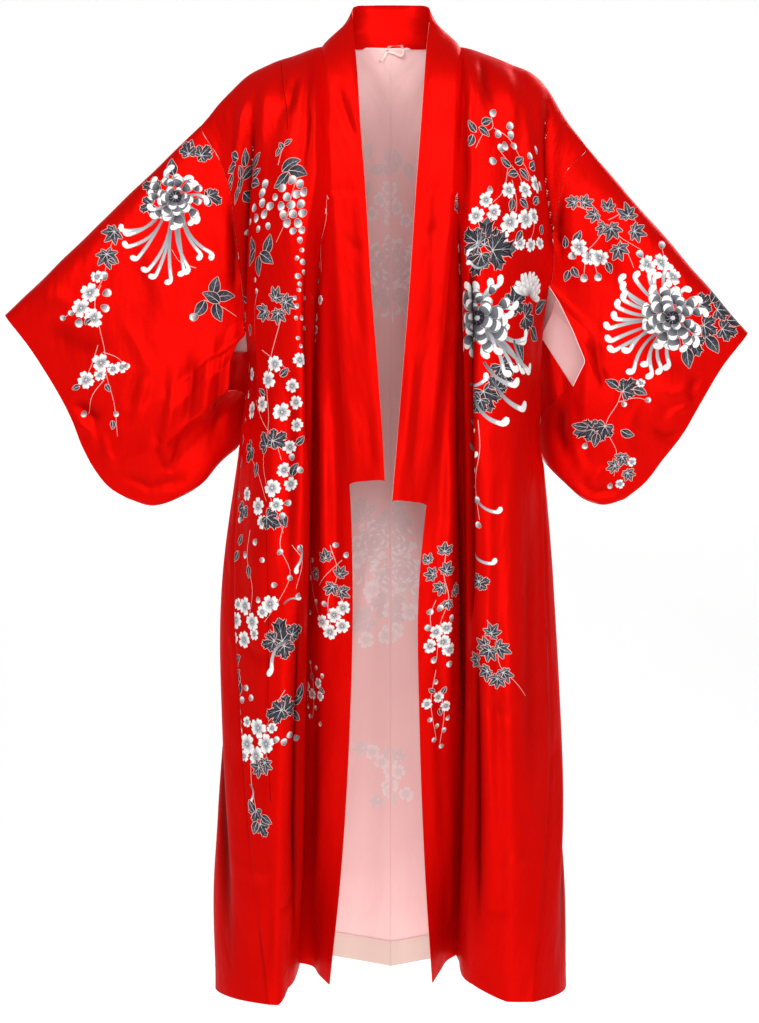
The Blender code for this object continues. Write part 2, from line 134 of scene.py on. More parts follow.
@dataclass(frozen=True)
class Half:
    """One half of the robe: where its armhole ends, and the tables that shape its panels."""

    name: str
    sign: int
    armhole_height: float
    front: tuple
    back: tuple
    overlap: tuple
    hem_rise: dict
    shoulder: tuple
    collar_edge: tuple
    slit_front: tuple
    slit_back: tuple
    sleeve_bottom: tuple
    cuff: tuple
    fold_sag: float


# The neck seam behind the neck, from the centre to the shoulder: (distance from the centre, Y, Z).
NECK_SEAM = ((0, 53, 6), (38, 52, 7), (72, 40, 7), (97, 12, 3))

# The standing collar's free edge behind the neck, from the shoulder to the centre: (distance, Y, Z).
NECK_EDGE = ((54, -8, 38), (55, 12, 54), (51, 33, 64), (32, 48, 67), (0, 52, 68))

RIGHT = Half(
    name="right",
    sign=-1,
    armhole_height=-400 * MM,
    front=(
        FrontRow(-1325, (131, 22), (144, -76), (157, -102), (171, -104)),
        FrontRow(-1150, (126, 0), (136, -92), (164, -102), (192, -86)),
        FrontRow(-950, (121, -15), (131, -98), (168, -98), (211, -64)),
        FrontRow(-750, (115, -25), (125, -100), (170, -95), (223, -42)),
        FrontRow(-550, (110, -32), (120, -100), (165, -88), (212, -14)),
        FrontRow(-450, (108, -37), (119, -101), (164, -86), (202, -4)),
        FrontRow(-400, (106, -42), (119, -102), (166, -84), (206, -4)),
        FrontRow(-300, (99, -62), (117, -103), (172, -80), (214, -10)),
        FrontRow(-200, (88, -76), (112, -97), (174, -76), (219, -18)),
        FrontRow(-110, (94, -60), (106, -82), (173, -66), (229, -26)),
        FrontRow(-50, (96, -52), (107, -66), (171, -56), (246, -26)),
        FrontRow(0, (97, -48), (108, -56), (170, -46), (268, -16)),
    ),
    back=(
        BackRow(-1325, (0, 85), (120, 82), (212, 50), (252, -12), (220, -72), (171, -104)),
        BackRow(-1150, (0, 80), (120, 77), (210, 46), (249, -6), (230, -54), (192, -86)),
        BackRow(-950, (0, 76), (118, 73), (204, 44), (246, 2), (238, -34), (211, -64)),
        BackRow(-750, (0, 72), (112, 69), (192, 46), (236, 12), (240, -14), (223, -42)),
        BackRow(-550, (0, 68), (100, 66), (165, 50), (204, 22), (214, 2), (212, -14)),
        BackRow(-450, (0, 70), (92, 68), (152, 56), (190, 32), (202, 12), (202, -4)),
        BackRow(-400, (0, 72), (90, 70), (150, 60), (186, 40), (202, 18), (206, -4)),
        BackRow(-300, (0, 80), (85, 78), (145, 66), (188, 44), (204, 30), (214, 14)),
        BackRow(-200, (0, 82), (82, 80), (145, 68), (190, 48), (207, 38), (219, 28)),
        BackRow(-110, (0, 74), (80, 72), (140, 64), (195, 46), (214, 38), (229, 32)),
        BackRow(-50, (0, 66), (80, 64), (140, 56), (205, 38), (228, 32), (246, 28)),
        BackRow(0, (0, 60), (80, 58), (150, 44), (220, 26), (246, 20), (268, 14)),
    ),
    overlap=(
        OverlapRow(-1325, (131, 22), (116, 18), (103, -14), (88, -46)),
        OverlapRow(-1150, (126, 0), (108, -22), (90, -42), (70, -54)),
        OverlapRow(-950, (121, -15), (103, -40), (81, -56), (58, -62)),
        OverlapRow(-750, (115, -25), (98, -52), (76, -60), (54, -66)),
        OverlapRow(-620, (111, -30), (95, -58), (78, -60), (58, -70)),
        OverlapRow(-550, (110, -32), (93, -60), (79, -62), (64, -76)),
        OverlapRow(-400, (106, -42), (96, -62), (85, -68), (74, -81)),
        OverlapRow(-300, (99, -62), (94, -70), (88, -76), (81, -82)),
        OverlapRow(-215, (89, -74), (88, -76), (87, -77), (85.5, -79)),
    ),
    hem_rise={"inner": 16, "lip": 8, "crest": -9, "seam": -8, "centre": -4, "middle": 12, "edge": 4},
    shoulder=((97, 12, 3), (142, 8, -12), (170, 4, -22), (214, 1, -49), (240, 0, -76), (268, 0, -109)),
    collar_edge=(
        (-612, 9, -84, -606),
        (-550, 12, -88, -550),
        (-450, 19, -91, -450),
        (-350, 27, -93, -350),
        (-200, 36, -90, -200),
        (-110, 43, -80, -110),
        (-50, 47, -62, -42),
        (-15, 51, -34, 5),
        (0, 54, -8, 38),
    ),
    slit_front=((216, -16, -412), (226, -30, -440), (229, -26, -482), (219, 8, -480), (209, 30, -484),
                (207, 34, -520), (212, 32, -542), (213, 32, -553)),
    slit_back=((204, 26, -416), (200, 46, -444), (197, 56, -480), (198, 60, -520), (203, 54, -545),
               (205, 52, -556)),
    sleeve_bottom=((224, -566), (246, -586), (267, -611), (303, -634), (343, -643), (372, -635)),
    cuff=((546, -374), (514, -414), (478, -470), (450, -525), (437, -560), (419, -594), (400, -617),
          (372, -635)),
    fold_sag=-2 * MM,
)

LEFT = Half(
    name="left",
    sign=1,
    armhole_height=-335 * MM,
    front=(
        FrontRow(-1325, (96, 42), (115, -74), (160, -106), (199, -104)),
        FrontRow(-1150, (100, 5), (118, -93), (166, -104), (216, -80)),
        FrontRow(-950, (104, -12), (118, -99), (168, -100), (227, -50)),
        FrontRow(-750, (104, -25), (115, -100), (165, -96), (217, -40)),
        FrontRow(-550, (101, -35), (111, -100), (162, -90), (213, -14)),
        FrontRow(-400, (99, -45), (104, -103), (166, -86), (215, -6)),
        FrontRow(-300, (95, -60), (103, -103), (170, -82), (228, -10)),
        FrontRow(-200, (91, -76), (105, -97), (172, -76), (231, -20)),
        FrontRow(-110, (94, -62), (101, -84), (170, -66), (237, -26)),
        FrontRow(-50, (96, -54), (101, -68), (168, -56), (248, -26)),
        FrontRow(0, (97, -50), (103, -54), (165, -46), (276, -14)),
    ),
    back=(
        BackRow(-1325, (0, 85), (120, 82), (212, 50), (252, -12), (234, -68), (199, -104)),
        BackRow(-1150, (0, 80), (120, 77), (208, 46), (248, -4), (242, -46), (216, -80)),
        BackRow(-950, (0, 76), (114, 73), (198, 44), (239, 4), (240, -24), (227, -50)),
        BackRow(-750, (0, 72), (110, 69), (186, 46), (228, 12), (232, -12), (217, -40)),
        BackRow(-550, (0, 68), (100, 66), (165, 50), (204, 22), (215, 2), (213, -14)),
        BackRow(-400, (0, 72), (90, 70), (150, 60), (196, 36), (212, 14), (215, -6)),
        BackRow(-300, (0, 80), (85, 78), (150, 64), (198, 42), (217, 24), (228, 4)),
        BackRow(-200, (0, 82), (82, 80), (145, 68), (198, 46), (217, 36), (231, 22)),
        BackRow(-110, (0, 74), (80, 72), (140, 64), (200, 46), (220, 38), (237, 30)),
        BackRow(-50, (0, 66), (80, 64), (140, 56), (205, 38), (230, 32), (248, 28)),
        BackRow(0, (0, 60), (80, 58), (150, 44), (225, 26), (252, 20), (276, 12)),
    ),
    overlap=(
        OverlapRow(-1325, (96, 42), (84, 34), (72, 8), (60, -22)),
        OverlapRow(-1150, (100, 5), (84, -20), (66, -38), (48, -48)),
        OverlapRow(-950, (104, -12), (88, -38), (64, -52), (40, -58)),
        OverlapRow(-750, (104, -25), (88, -50), (63, -60), (39, -64)),
        OverlapRow(-650, (103, -29), (86, -56), (66, -62), (48, -67)),
        OverlapRow(-550, (101, -35), (86, -60), (73, -64), (60, -76)),
        OverlapRow(-400, (99, -45), (90, -62), (82, -68), (73, -81)),
        OverlapRow(-300, (95, -60), (90, -72), (86, -76), (81, -82)),
        OverlapRow(-215, (91.5, -74), (90.5, -76), (89.5, -77), (88, -79)),
    ),
    hem_rise={"inner": 22, "lip": 12, "crest": -3, "seam": -4, "centre": -4, "middle": 12, "edge": 0},
    shoulder=((97, 12, 3), (135, 8, -9), (165, 4, -21), (211, 1, -46), (248, 0, -102), (276, 0, -139)),
    collar_edge=(
        (-640, 1, -84, -634),
        (-550, 8, -88, -550),
        (-450, 16, -91, -450),
        (-350, 24, -93, -350),
        (-200, 34, -90, -200),
        (-110, 41, -80, -110),
        (-50, 46, -62, -42),
        (-15, 50, -34, 5),
        (0, 54, -8, 38),
    ),
    slit_front=((236, -24, -358), (254, -38, -398), (271, -42, -440), (254, -30, -477), (235, -2, -494),
                (218, 26, -508), (213, 34, -536), (214, 34, -560), (215, 34, -572)),
    slit_back=((222, 26, -352), (211, 48, -392), (205, 58, -440), (202, 60, -500), (205, 55, -554),
               (207, 54, -566)),
    sleeve_bottom=((226, -590), (249, -613), (276, -636), (300, -643), (330, -635)),
    cuff=((505, -399), (470, -443), (437, -499), (412, -543), (384, -579), (360, -611), (330, -635)),
    fold_sag=7 * MM,
)


# --- Lines and rounded forms ------------------------------------------------------------------------------


def smooth(knots: Any, values: Any, places: Any) -> Array:
    """Reads the smooth line through some values.

    Args:
        knots: where each value stands, rising.
        values: one row for each knot.
        places: where to read the line.

    Returns:
        One row for each place.
    """
    knots, values = np.asarray(knots, float), np.asarray(values, float)
    step = np.diff(knots)[:, None]
    rise = np.diff(values, axis=0) / step
    inner = (rise[:-1] * step[1:] + rise[1:] * step[:-1]) / (step[1:] + step[:-1])
    slope = np.vstack([rise[:1], inner, rise[-1:]])
    places = np.clip(np.atleast_1d(places), knots[0], knots[-1])
    first = np.clip(np.searchsorted(knots, places, side="right") - 1, 0, len(knots) - 2)
    step = (knots[first + 1] - knots[first])[:, None]
    t = (places - knots[first])[:, None] / step
    start, end = values[first], values[first + 1]
    swing = t * (1 - t) * ((1 - t) * slope[first] - t * slope[first + 1]) * step
    return start + (end - start) * t * t * (3 - 2 * t) + swing


def along(points: Array) -> Array:
    """The distance along a line of points, from 0 at its start to 1 at its end."""
    steps = np.linalg.norm(np.diff(np.asarray(points, float), axis=0), axis=1)
    return np.concatenate([[0.0], np.cumsum(steps)]) / steps.sum()


def divided(points: Array, places: Any) -> Array:
    """The smooth line through the points, read at the places, which run from 0 to 1 along it."""
    return smooth(along(points), points, places)


def even(points: Array, count: int) -> Array:
    """A line of points taken again at count even distances, along straight stretches."""
    places = np.linspace(0, 1, count)
    return np.column_stack([np.interp(places, along(points), points[:, k]) for k in range(points.shape[1])])


def rounding(share: Any) -> Array:
    """A quarter round: 0 at its start, 1 from a share of 1 on."""
    left = 1 - np.clip(share, 0, 1)
    return np.sqrt(1 - left * left)


def eased(share: Any) -> Array:
    """A soft step from 0 to 1 as the share goes from 0 to 1."""
    share = np.clip(share, 0, 1)
    return share * share * (3 - 2 * share)


def named_lines(rows: tuple, heights: Array) -> Array:
    """Every named line of a table at each height, as (height, line, 2) in metres.

    Args:
        rows: the table's rows, from the hem up.
        heights: the rows' heights, in metres.

    Returns:
        The points, in metres.
    """
    knots = [row.height * MM for row in rows]
    names = rows[0]._fields[1:]
    lines = [smooth(knots, [np.multiply(getattr(row, name), MM) for row in rows], heights) for name in names]
    return np.stack(lines, axis=1)


def shoulder_points(half: Half, distances: Any) -> Array:
    """Points of the shoulder line at distances from the centre, or of the neck seam inside it."""
    line = np.array(NECK_SEAM[:-1] + half.shoulder, float) * MM
    return smooth(line[:, 0], line, distances)


def row_heights(half: Half) -> Array:
    """The rows' heights from the hem to the shoulder line, closer together where the shoulder rounds over.

    Args:
        half: the half of the robe.

    Returns:
        The heights, in metres.
    """
    hem = half.front[0].height * MM
    below = np.linspace(hem, half.armhole_height, int(-(hem - half.armhole_height) / ROW_STEP) + 1)
    steps = int(-(half.armhole_height + SHOULDER_ROUND) / ROW_STEP)
    above = np.linspace(half.armhole_height, -SHOULDER_ROUND, steps)
    turn = np.linspace(0, np.pi / 2, SHOULDER_ROWS)
    return np.concatenate([below, above[1:], -SHOULDER_ROUND * (1 - np.sin(turn[1:]))])


def actual_heights(half: Half, height: float, tops: Array, rises: Array) -> Array:
    """A row's real heights on lines that end at the tops and whose hems are raised by the rises.

    Args:
        half: the half of the robe.
        height: the row's nominal height.
        tops: where each line ends at the shoulder.
        rises: how far each line is raised at the hem.

    Returns:
        The heights, in metres.
    """
    hem, armhole = half.front[0].height * MM, half.armhole_height
    if height > armhole:
        return armhole + (tops - armhole) * (height - armhole) / -armhole
    return height + rises * (height - armhole) / (hem - armhole)


def span_places() -> Array:
    """The front panel's columns, counted in spans between its named lines."""
    parts = [np.arange(steps) / steps + span for span, steps in enumerate(SPAN_STEPS)]
    return np.concatenate([*parts, [len(SPAN_STEPS)]])


def front_tops(half: Half) -> Array:
    """The distances at which a front panel's columns cross the shoulder line."""
    line = [getattr(half.front[-1], name)[0] * MM for name in FrontRow._fields[1:]]
    return np.interp(span_places(), range(len(line)), line)


def raised(half: Half, height: float, flat: Array, tops: Array, rises: Array) -> Array:
    """A row's points: drawn in to their tops as it nears the shoulder line, with their real heights.

    Args:
        half: the half of the robe.
        height: the row's nominal height.
        flat: the row's places from above.
        tops: where each line ends at the shoulder.
        rises: how far each line is raised at the hem.

    Returns:
        The points, in metres.
    """
    share = rounding(-height / SHOULDER_ROUND)
    across = tops[:, :2] + (flat - tops[:, :2]) * share
    return np.column_stack([across, actual_heights(half, height, tops[:, 2], rises)])


def front_grid(half: Half, heights: Array) -> Array:
    """A front panel's rows, from the hem up, each from the overlap seam to the side seam or armhole.

    Args:
        half: the half of the robe.
        heights: the rows' heights, in metres.

    Returns:
        The grid of points, in metres.
    """
    spans, names = span_places(), FrontRow._fields[1:]
    tops = shoulder_points(half, front_tops(half))
    rises = np.interp(spans, range(len(names)), [half.hem_rise[name] * MM for name in names])
    rows = []
    for height, line in zip(heights, named_lines(half.front, heights)):
        places = np.interp(spans, range(len(names)), along(line))
        rows.append(raised(half, height, divided(line, places), tops, rises))
    return np.array(rows) * (half.sign, 1, 1)


def back_grid(half: Half, heights: Array) -> Array:
    """A back panel's rows, from the hem up, each from the side seam or armhole to the centre seam.

    Args:
        half: the half of the robe.
        heights: the rows' heights, in metres.

    Returns:
        The grid of points, in metres.
    """
    lines = named_lines(half.back, heights)
    side = named_lines(half.front, heights)[:, -1]
    below = heights <= half.armhole_height
    lines[below, -1] = side[below]
    shoulder = front_tops(half)[::-1]
    distances = np.concatenate([shoulder, np.linspace(shoulder[-1], 0, NECK_STEPS + 1)[1:]])
    tops = shoulder_points(half, distances)
    equal = np.linspace(1, 0, len(distances))
    rises_at = [half.hem_rise[name] * MM for name in ("centre", "middle", "crest", "seam")]
    rows = []
    for height, line in zip(heights, lines):
        blend = eased(1 - height / half.armhole_height)
        places = equal + (distances / distances[0] - equal) * blend
        rises = np.interp(places, (0, 0.22, 0.6, 1), rises_at)
        row = raised(half, height, divided(line, places), tops, rises)
        row[-1, 0] = SEAM_GAP / 2
        rows.append(row)
    return np.array(rows) * (half.sign, 1, 1)


# --- Sheets of cloth --------------------------------------------------------------------------------------


@dataclass(frozen=True)
class Chart:
    """The squares that the print and the folds are laid out in: places on a front view, from its top left."""

    middle: tuple = (379.5, 511.5)
    square: float = 1.38 * MM
    reach: float = 2042.0
    stand: tuple = (-0.0163, -2.9, -0.5003)
    tilt: float = 3.0
    frame_height: int = 1023

    def seen(self, points: Array) -> Array:
        """Where points of the robe come on the chart, as (..., 2) across and down.

        Args:
            points: points in metres.

        Returns:
            The places, in squares.
        """
        tilt = np.radians(self.tilt)
        x, y, z = np.moveaxis(np.asarray(points) - self.stand, -1, 0)
        away = y * np.cos(tilt) - z * np.sin(tilt)
        up = z * np.cos(tilt) + y * np.sin(tilt)
        return np.stack([self.middle[0] + self.reach * x / away, self.middle[1] - self.reach * up / away], -1)


CHART = Chart()


class Edge(Enum):
    """The four edges of a patch: its first and last rows and columns."""

    FIRST_ROW = 0
    LAST_ROW = 1
    FIRST_COLUMN = 2
    LAST_COLUMN = 3

    def inward(self, grid: Array) -> Array:
        """The grid turned so that this edge comes first, as a view of it.

        Args:
            grid: a grid of rows and columns.

        Returns:
            The same values, seen from this edge.
        """
        if self in (Edge.FIRST_COLUMN, Edge.LAST_COLUMN):
            grid = grid.swapaxes(0, 1)
        return grid[::-1] if self in (Edge.LAST_ROW, Edge.LAST_COLUMN) else grid


class Fold(Enum):
    """How the cloth is pressed across a fold line."""

    SOFT = "soft"
    SHARP = "sharp"

    def profile(self, across: Array) -> Array:
        """The height across the fold, at distances in widths from its line.

        Args:
            across: the distances.

        Returns:
            The heights, up to 1.
        """
        if self is Fold.SHARP:
            return np.exp(-2.2 * np.abs(across))
        return np.exp(-across * across)


class Crease(NamedTuple):
    """A fold in the cloth: its line on the chart or the flat cloth, its half width, and how high it stands.

    A height below 0 is a trough. ends is the share of the line over which the fold dies away at each end.
    """

    line: tuple
    width: float
    height: float
    kind: Fold = Fold.SOFT
    ends: float = 0.35


@dataclass
class Patch:
    """One stretch of a sheet: a grid of points on its outer face.

    points: rows of points in metres. towards: the way the outer face looks. flat: the same places on
    the cloth laid flat, in millimetres, with the first axis to the right of someone who looks at that
    face. deep: from 0 to 1, how far inside a fold each point lies, which sets how dark the shade
    painted into the silk is there.
    """

    points: Array
    towards: tuple
    flat: Array | None = None
    deep: Array | None = None
    trees: dict = field(default_factory=dict)

    def __post_init__(self) -> None:
        """Lays the cloth flat where no flat places are given."""
        across = np.gradient(self.points, axis=1)
        up = np.gradient(self.points, axis=0)
        self.turn = np.sign((np.cross(across, up) @ np.array(self.towards)).mean())
        if self.flat is None:
            right = np.cross((0, 0, 1), self.towards)
            way = np.sign((across @ right).mean())
            sides = np.linalg.norm(np.diff(self.points, axis=1), axis=2)
            rises = np.linalg.norm(np.diff(self.points, axis=0), axis=2).mean(axis=1)
            self.flat = np.empty(self.points.shape[:2] + (2,))
            self.flat[:, 0, 0] = 0
            self.flat[:, 1:, 0] = way * np.cumsum(sides, axis=1) / MM
            self.flat[..., 1] = (np.concatenate([[0], np.cumsum(rises)]) / MM)[:, None]
        if self.deep is None:
            self.deep = np.zeros(self.points.shape[:2])

    @property
    def shape(self) -> tuple:
        """The counts of rows and columns."""
        return self.points.shape[:2]

    def outward(self) -> Array:
        """The outward direction at every point.

        Returns:
            One unit vector for each point.
        """
        across = np.gradient(self.points, axis=1)
        up = np.gradient(self.points, axis=0)
        normal = np.cross(across, up) * self.turn
        return normal / np.maximum(np.linalg.norm(normal, axis=2, keepdims=True), 1e-12)

    def area(self) -> float:
        """The area of its outer face, in square metres."""
        across, up = np.diff(self.points, axis=1)[:-1], np.diff(self.points, axis=0)[:, :-1]
        return float(np.linalg.norm(np.cross(across, up), axis=2).sum())

    def nearest(self, name: str, grid: Array, places: Array, shown: Array | None = None) -> tuple:
        """Grid places of the points nearest to some places, worked out finer from the slope there.

        Args:
            name: what the grid holds, under which its search tree is kept.
            grid: (rows, columns, 2) values.
            places: (n, 2) values to find.
            shown: which points may be found, or None for all of them.

        Returns:
            (n, 2) as (column, row) with fractions, and the distance from each place to its point.
        """
        if name not in self.trees:
            tree = KDTree(grid[..., 0].size)
            for index, (a, b) in enumerate(grid.reshape(-1, 2)):
                if shown is None or shown.flat[index]:
                    tree.insert((a, b, 0), index)
            tree.balance()
            self.trees[name] = tree, np.gradient(grid, axis=1), np.gradient(grid, axis=0)
        tree, by_column, by_row = self.trees[name]
        found = [tree.find((a, b, 0))[1:] for a, b in places]
        index = np.array([number for number, _ in found])
        row, column = np.divmod(index, self.shape[1])
        off = np.asarray(places) - grid[row, column]
        du, dv = by_column[row, column], by_row[row, column]
        area = du[:, 0] * dv[:, 1] - du[:, 1] * dv[:, 0]
        area = np.where(np.abs(area) < 1e-3, 1e-3, area)
        columns = column + (off[:, 0] * dv[:, 1] - off[:, 1] * dv[:, 0]) / area
        rows = row + (du[:, 0] * off[:, 1] - du[:, 1] * off[:, 0]) / area
        return np.column_stack([columns, rows]), np.array([distance for _, distance in found])

    def spot(self, flat: Array) -> Array:
        """Grid places, as (column, row), of places on the flat cloth."""
        return self.nearest("flat", self.flat, flat)[0]

    def read(self, grid: Array, places: Array) -> Array:
        """Values of a grid at (column, row) places with fractions.

        Args:
            grid: the values at its points.
            places: where they are read.

        Returns:
            One value for each place.
        """
        rows, columns = self.shape
        column = np.clip(places[:, 0], 0, columns - 1)
        row = np.clip(places[:, 1], 0, rows - 1)
        j = np.minimum(column.astype(int), columns - 2)
        i = np.minimum(row.astype(int), rows - 2)
        u, v = (column - j)[:, None], (row - i)[:, None]
        near = grid[i, j] * (1 - u) + grid[i, j + 1] * u
        far = grid[i + 1, j] * (1 - u) + grid[i + 1, j + 1] * u
        return near * (1 - v) + far * v

    def charted(self, places: Any) -> tuple:
        """Grid places of the cloth seen at places on the chart, and how far off the cloth each one is.

        Args:
            places: places on the chart.

        Returns:
            The grid places, and the distances in squares.
        """
        shown = None
        if "chart" not in self.trees:
            away = np.array(CHART.stand) - self.points
            shown = (self.outward() * away).sum(axis=2) > 0.05 * np.linalg.norm(away, axis=2)
        return self.nearest("chart", CHART.seen(self.points), np.asarray(places, float), shown)

    def pinned(self, places: Any) -> tuple:
        """Flat places of the cloth seen at places on the chart, and how far off the cloth each one is."""
        spots, distance = self.charted(places)
        return self.read(self.flat, spots), distance

    def placed(self, places: Any) -> Array:
        """Points of the cloth seen at places on the chart."""
        return self.read(self.points, self.charted(places)[0])

    def press(self, creases: tuple, charted: bool = True) -> None:
        """Presses folds into the cloth.

        Args:
            creases: the folds.
            charted: whether their lines are on the chart, or on the flat cloth in millimetres.
        """
        flat = self.flat.reshape(-1, 2)
        total = np.zeros(len(flat))
        for crease in creases:
            line = np.asarray(crease.line, float)
            if charted:
                line, _ = self.pinned(line)
            total += pressed(flat, line, crease)
        total = total.reshape(self.shape)
        self.points += self.outward() * (total * MM)[..., None]
        # Painted shade: the share of darkening painted into the silk in each fold's trough.
        self.deep = np.clip(-total / PAINTED_SHADE_DEPTH, 0, 1)
        self.trees.clear()

    @property
    def laid(self) -> Array:
        """Every point's place on the flat cloth with its share of painted fold shade, in rows of three."""
        return np.dstack([self.flat, self.deep]).reshape(-1, 3)

    def join(self, edge: Edge, line: Array, reach: int = 9) -> None:
        """Moves an edge onto a line of points, and the cloth within reach of it part of the way.

        Args:
            edge: the edge.
            line: its new points.
            reach: how many rows or columns move with it.
        """
        grid = edge.inward(self.points)
        shift = line - grid[0]
        fall = eased(1 - np.arange(len(grid)) / reach)
        grid += shift[None] * fall[:, None, None]
        grid[0] = line

    def moved_in(self, depth: float) -> "Patch":
        """A patch that lies a depth below this one's outer face."""
        return Patch(self.points - self.outward() * depth, self.towards, self.flat)

    def part(self, rows: slice, columns: slice = slice(None)) -> "Patch":
        """Some of the rows and columns, as a patch of its own."""
        return Patch(self.points[rows, columns].copy(), self.towards, self.flat[rows, columns].copy())


def pressed(flat: Array, line: Array, crease: Crease) -> Array:
    """The height in millimetres that a fold adds at each place on the flat cloth.

    Args:
        flat: the places, in millimetres.
        line: the fold's line on the same cloth.
        crease: the fold.

    Returns:
        One height for each place.
    """
    lengths = np.linalg.norm(np.diff(line, axis=0), axis=1)
    starts = np.concatenate([[0], np.cumsum(lengths)[:-1]])
    best, height = np.full(len(flat), np.inf), np.zeros(len(flat))
    for a, b, length, start in zip(line[:-1], line[1:], lengths, starts):
        way = (b - a) / max(length, 1e-6)
        off = flat - a
        run = np.clip(off @ way, 0, length)
        gap = np.linalg.norm(off - run[:, None] * way, axis=1)
        side = np.sign(way[0] * off[:, 1] - way[1] * off[:, 0])
        share = (start + run) / lengths.sum()
        die = eased(np.minimum(share, 1 - share) / crease.ends)
        nearer = gap < best
        height[nearer] = (crease.height * crease.kind.profile(side * gap / crease.width) * die)[nearer]
        best = np.minimum(best, gap)
    return height


def drape(patch: Patch, seed: int, height: float, across: float, run: float) -> None:
    """Gives a patch the slight, uneven waves that hanging cloth has.

    Args:
        patch: the cloth.
        seed: the fixed seed of the waves.
        height: how high they stand, in millimetres.
        across: their usual width across the cloth, in millimetres.
        run: their usual length down the cloth, in millimetres.
    """
    chance = np.random.default_rng(seed)
    a, b = patch.flat[..., 0], patch.flat[..., 1]
    total = np.zeros(patch.shape)
    for _ in range(7):
        wide, tall = across * chance.uniform(0.6, 1.8), run * chance.uniform(0.6, 1.8)
        lean, start, other = chance.uniform(-0.12, 0.12), *chance.uniform(0, 2 * np.pi, 2)
        total += np.sin(2 * np.pi * (a + lean * b) / wide + start) * np.sin(2 * np.pi * b / tall + other)
    patch.points += patch.outward() * (total * height * MM / 2.6)[..., None]
    patch.trees.clear()


class Shape(NamedTuple):
    """A printed shape on the flat cloth: its outline, and a colour that runs along its axis."""

    outline: Array
    start: tuple
    end: tuple
    axis: Array


@dataclass
class Print:
    """The printed shapes of one patch, later ones over earlier ones."""

    patch: Patch
    shapes: list = field(default_factory=list)

    # How far inside the edge of the grid shapes are cut off, and how much that differs between shapes,
    # so that their cut edges don't lie on one another.
    EDGE = 0.25
    STAGGER = 0.005

    def add(self, shapes: list) -> None:
        """Adds shapes on top of those already there."""
        self.shapes.extend(shapes)

    def clipped(self, outline: Array, edge: float) -> Array:
        """An outline in grid places, cut off just inside the patch's edges.

        Args:
            outline: its points.
            edge: how far inside, in steps of the grid.

        Returns:
            The part inside, which may be empty.
        """
        rows, columns = self.patch.shape
        limits = ((0, edge, 1), (0, columns - 1 - edge, -1), (1, edge, 1), (1, rows - 1 - edge, -1))
        for axis, limit, way in limits:
            inside = (outline[:, axis] - limit) * way >= 0
            if inside.all():
                continue
            if not inside.any():
                return outline[:0]
            kept = []
            for k, point in enumerate(outline):
                before, was_in = outline[k - 1], inside[k - 1]
                if was_in != inside[k]:
                    share = (limit - before[axis]) / (point[axis] - before[axis])
                    kept.append(before + (point - before) * share)
                if inside[k]:
                    kept.append(point)
            outline = np.array(kept)
        return outline

    def divide(self) -> tuple:
        """Cuts the patch's grid along the outlines.

        Returns:
            The grid places of every point, the triangles between them, and each corner's colour with
            its cover. The grid's own points come first, in their own order.
        """
        rows, columns = self.patch.shape
        step = np.linalg.norm(np.ptp(self.patch.flat.reshape(-1, 2), axis=0)) / np.hypot(rows, columns)
        across = np.abs(np.diff(self.patch.flat[..., 0], axis=1)).mean() / step
        scale = np.array([max(across, 0.2), 1.0])
        grid = np.stack(np.meshgrid(np.arange(columns), np.arange(rows)), -1).reshape(-1, 2) * scale
        points, faces, colours = [*map(tuple, grid)], [], []
        for number, shape in enumerate(self.shapes):
            outline = self.clipped(self.patch.spot(shape.outline), self.EDGE + self.STAGGER * (number % 40))
            if len(outline) < 3:
                continue
            outline = outline * scale
            after = np.roll(outline, -1, axis=0)
            area = (outline[:, 0] * after[:, 1] - outline[:, 1] * after[:, 0]).sum() / 2
            if abs(area) < 1e-3:
                continue
            if area < 0:
                outline = outline[::-1]
            start, end = self.patch.spot(shape.axis) * scale
            faces.append(list(range(len(points), len(points) + len(outline))))
            points.extend(map(tuple, outline))
            colours.append((*shape.start, *shape.end, *start, *(end - start)))
        found = delaunay_2d_cdt([Vector(point) for point in points], [], faces, 0, 1e-6, True)
        places = np.array([tuple(point) for point in found[0]])
        corners = np.array([face for face in found[2] if len(face) == 3])
        top = np.array([max(over, default=-1) for face, over in zip(found[2], found[5]) if len(face) == 3])
        order = self.grid_first(found[3], len(grid))
        places, corners = places[order[0]], order[1][corners]
        return places / scale, corners, self.painted(places[corners], top, np.reshape(colours, (-1, 10)))

    @staticmethod
    def grid_first(sources: list, count: int) -> tuple:
        """The order that puts the grid's own points first, and each old point's new number.

        Args:
            sources: the old points that each new point comes from.
            count: how many points are the grid's own.

        Returns:
            The order, and the numbers.
        """
        own = {min(source): new for new, source in enumerate(sources) if source and min(source) < count}
        first = [own[k] for k in range(count)]
        rest = sorted(set(range(len(sources))) - set(first))
        order = np.array(first + rest)
        number = np.empty(len(order), int)
        number[order] = np.arange(len(order))
        return order, number

    @staticmethod
    def painted(corners: Array, top: Array, colours: Array) -> Array:
        """Each triangle corner's colour, and 1 or 0 for whether a shape covers it.

        Args:
            corners: the places of the corners.
            top: the uppermost shape on each triangle, or -1.
            colours: each shape's two colours and its axis.

        Returns:
            Colour and cover for each corner.
        """
        paint = np.zeros(corners.shape[:2] + (4,))
        covered = top >= 0
        chosen = colours[top[covered]]
        start, way = chosen[:, None, 6:8], chosen[:, None, 8:10]
        share = ((corners[covered] - start) * way).sum(2) / np.maximum((way * way).sum(2), 1e-9)
        share = np.clip(share, 0, 1)[..., None]
        paint[covered, :, :3] = chosen[:, None, :3] * (1 - share) + chosen[:, None, 3:6] * share
        paint[covered, :, 3] = 1
        return paint


def welded(points: Array) -> tuple:
    """The different points of a list, and each one's number among them."""
    _, first, number = np.unique(np.round(points, 7), axis=0, return_index=True, return_inverse=True)
    return points[first], number.reshape(-1)


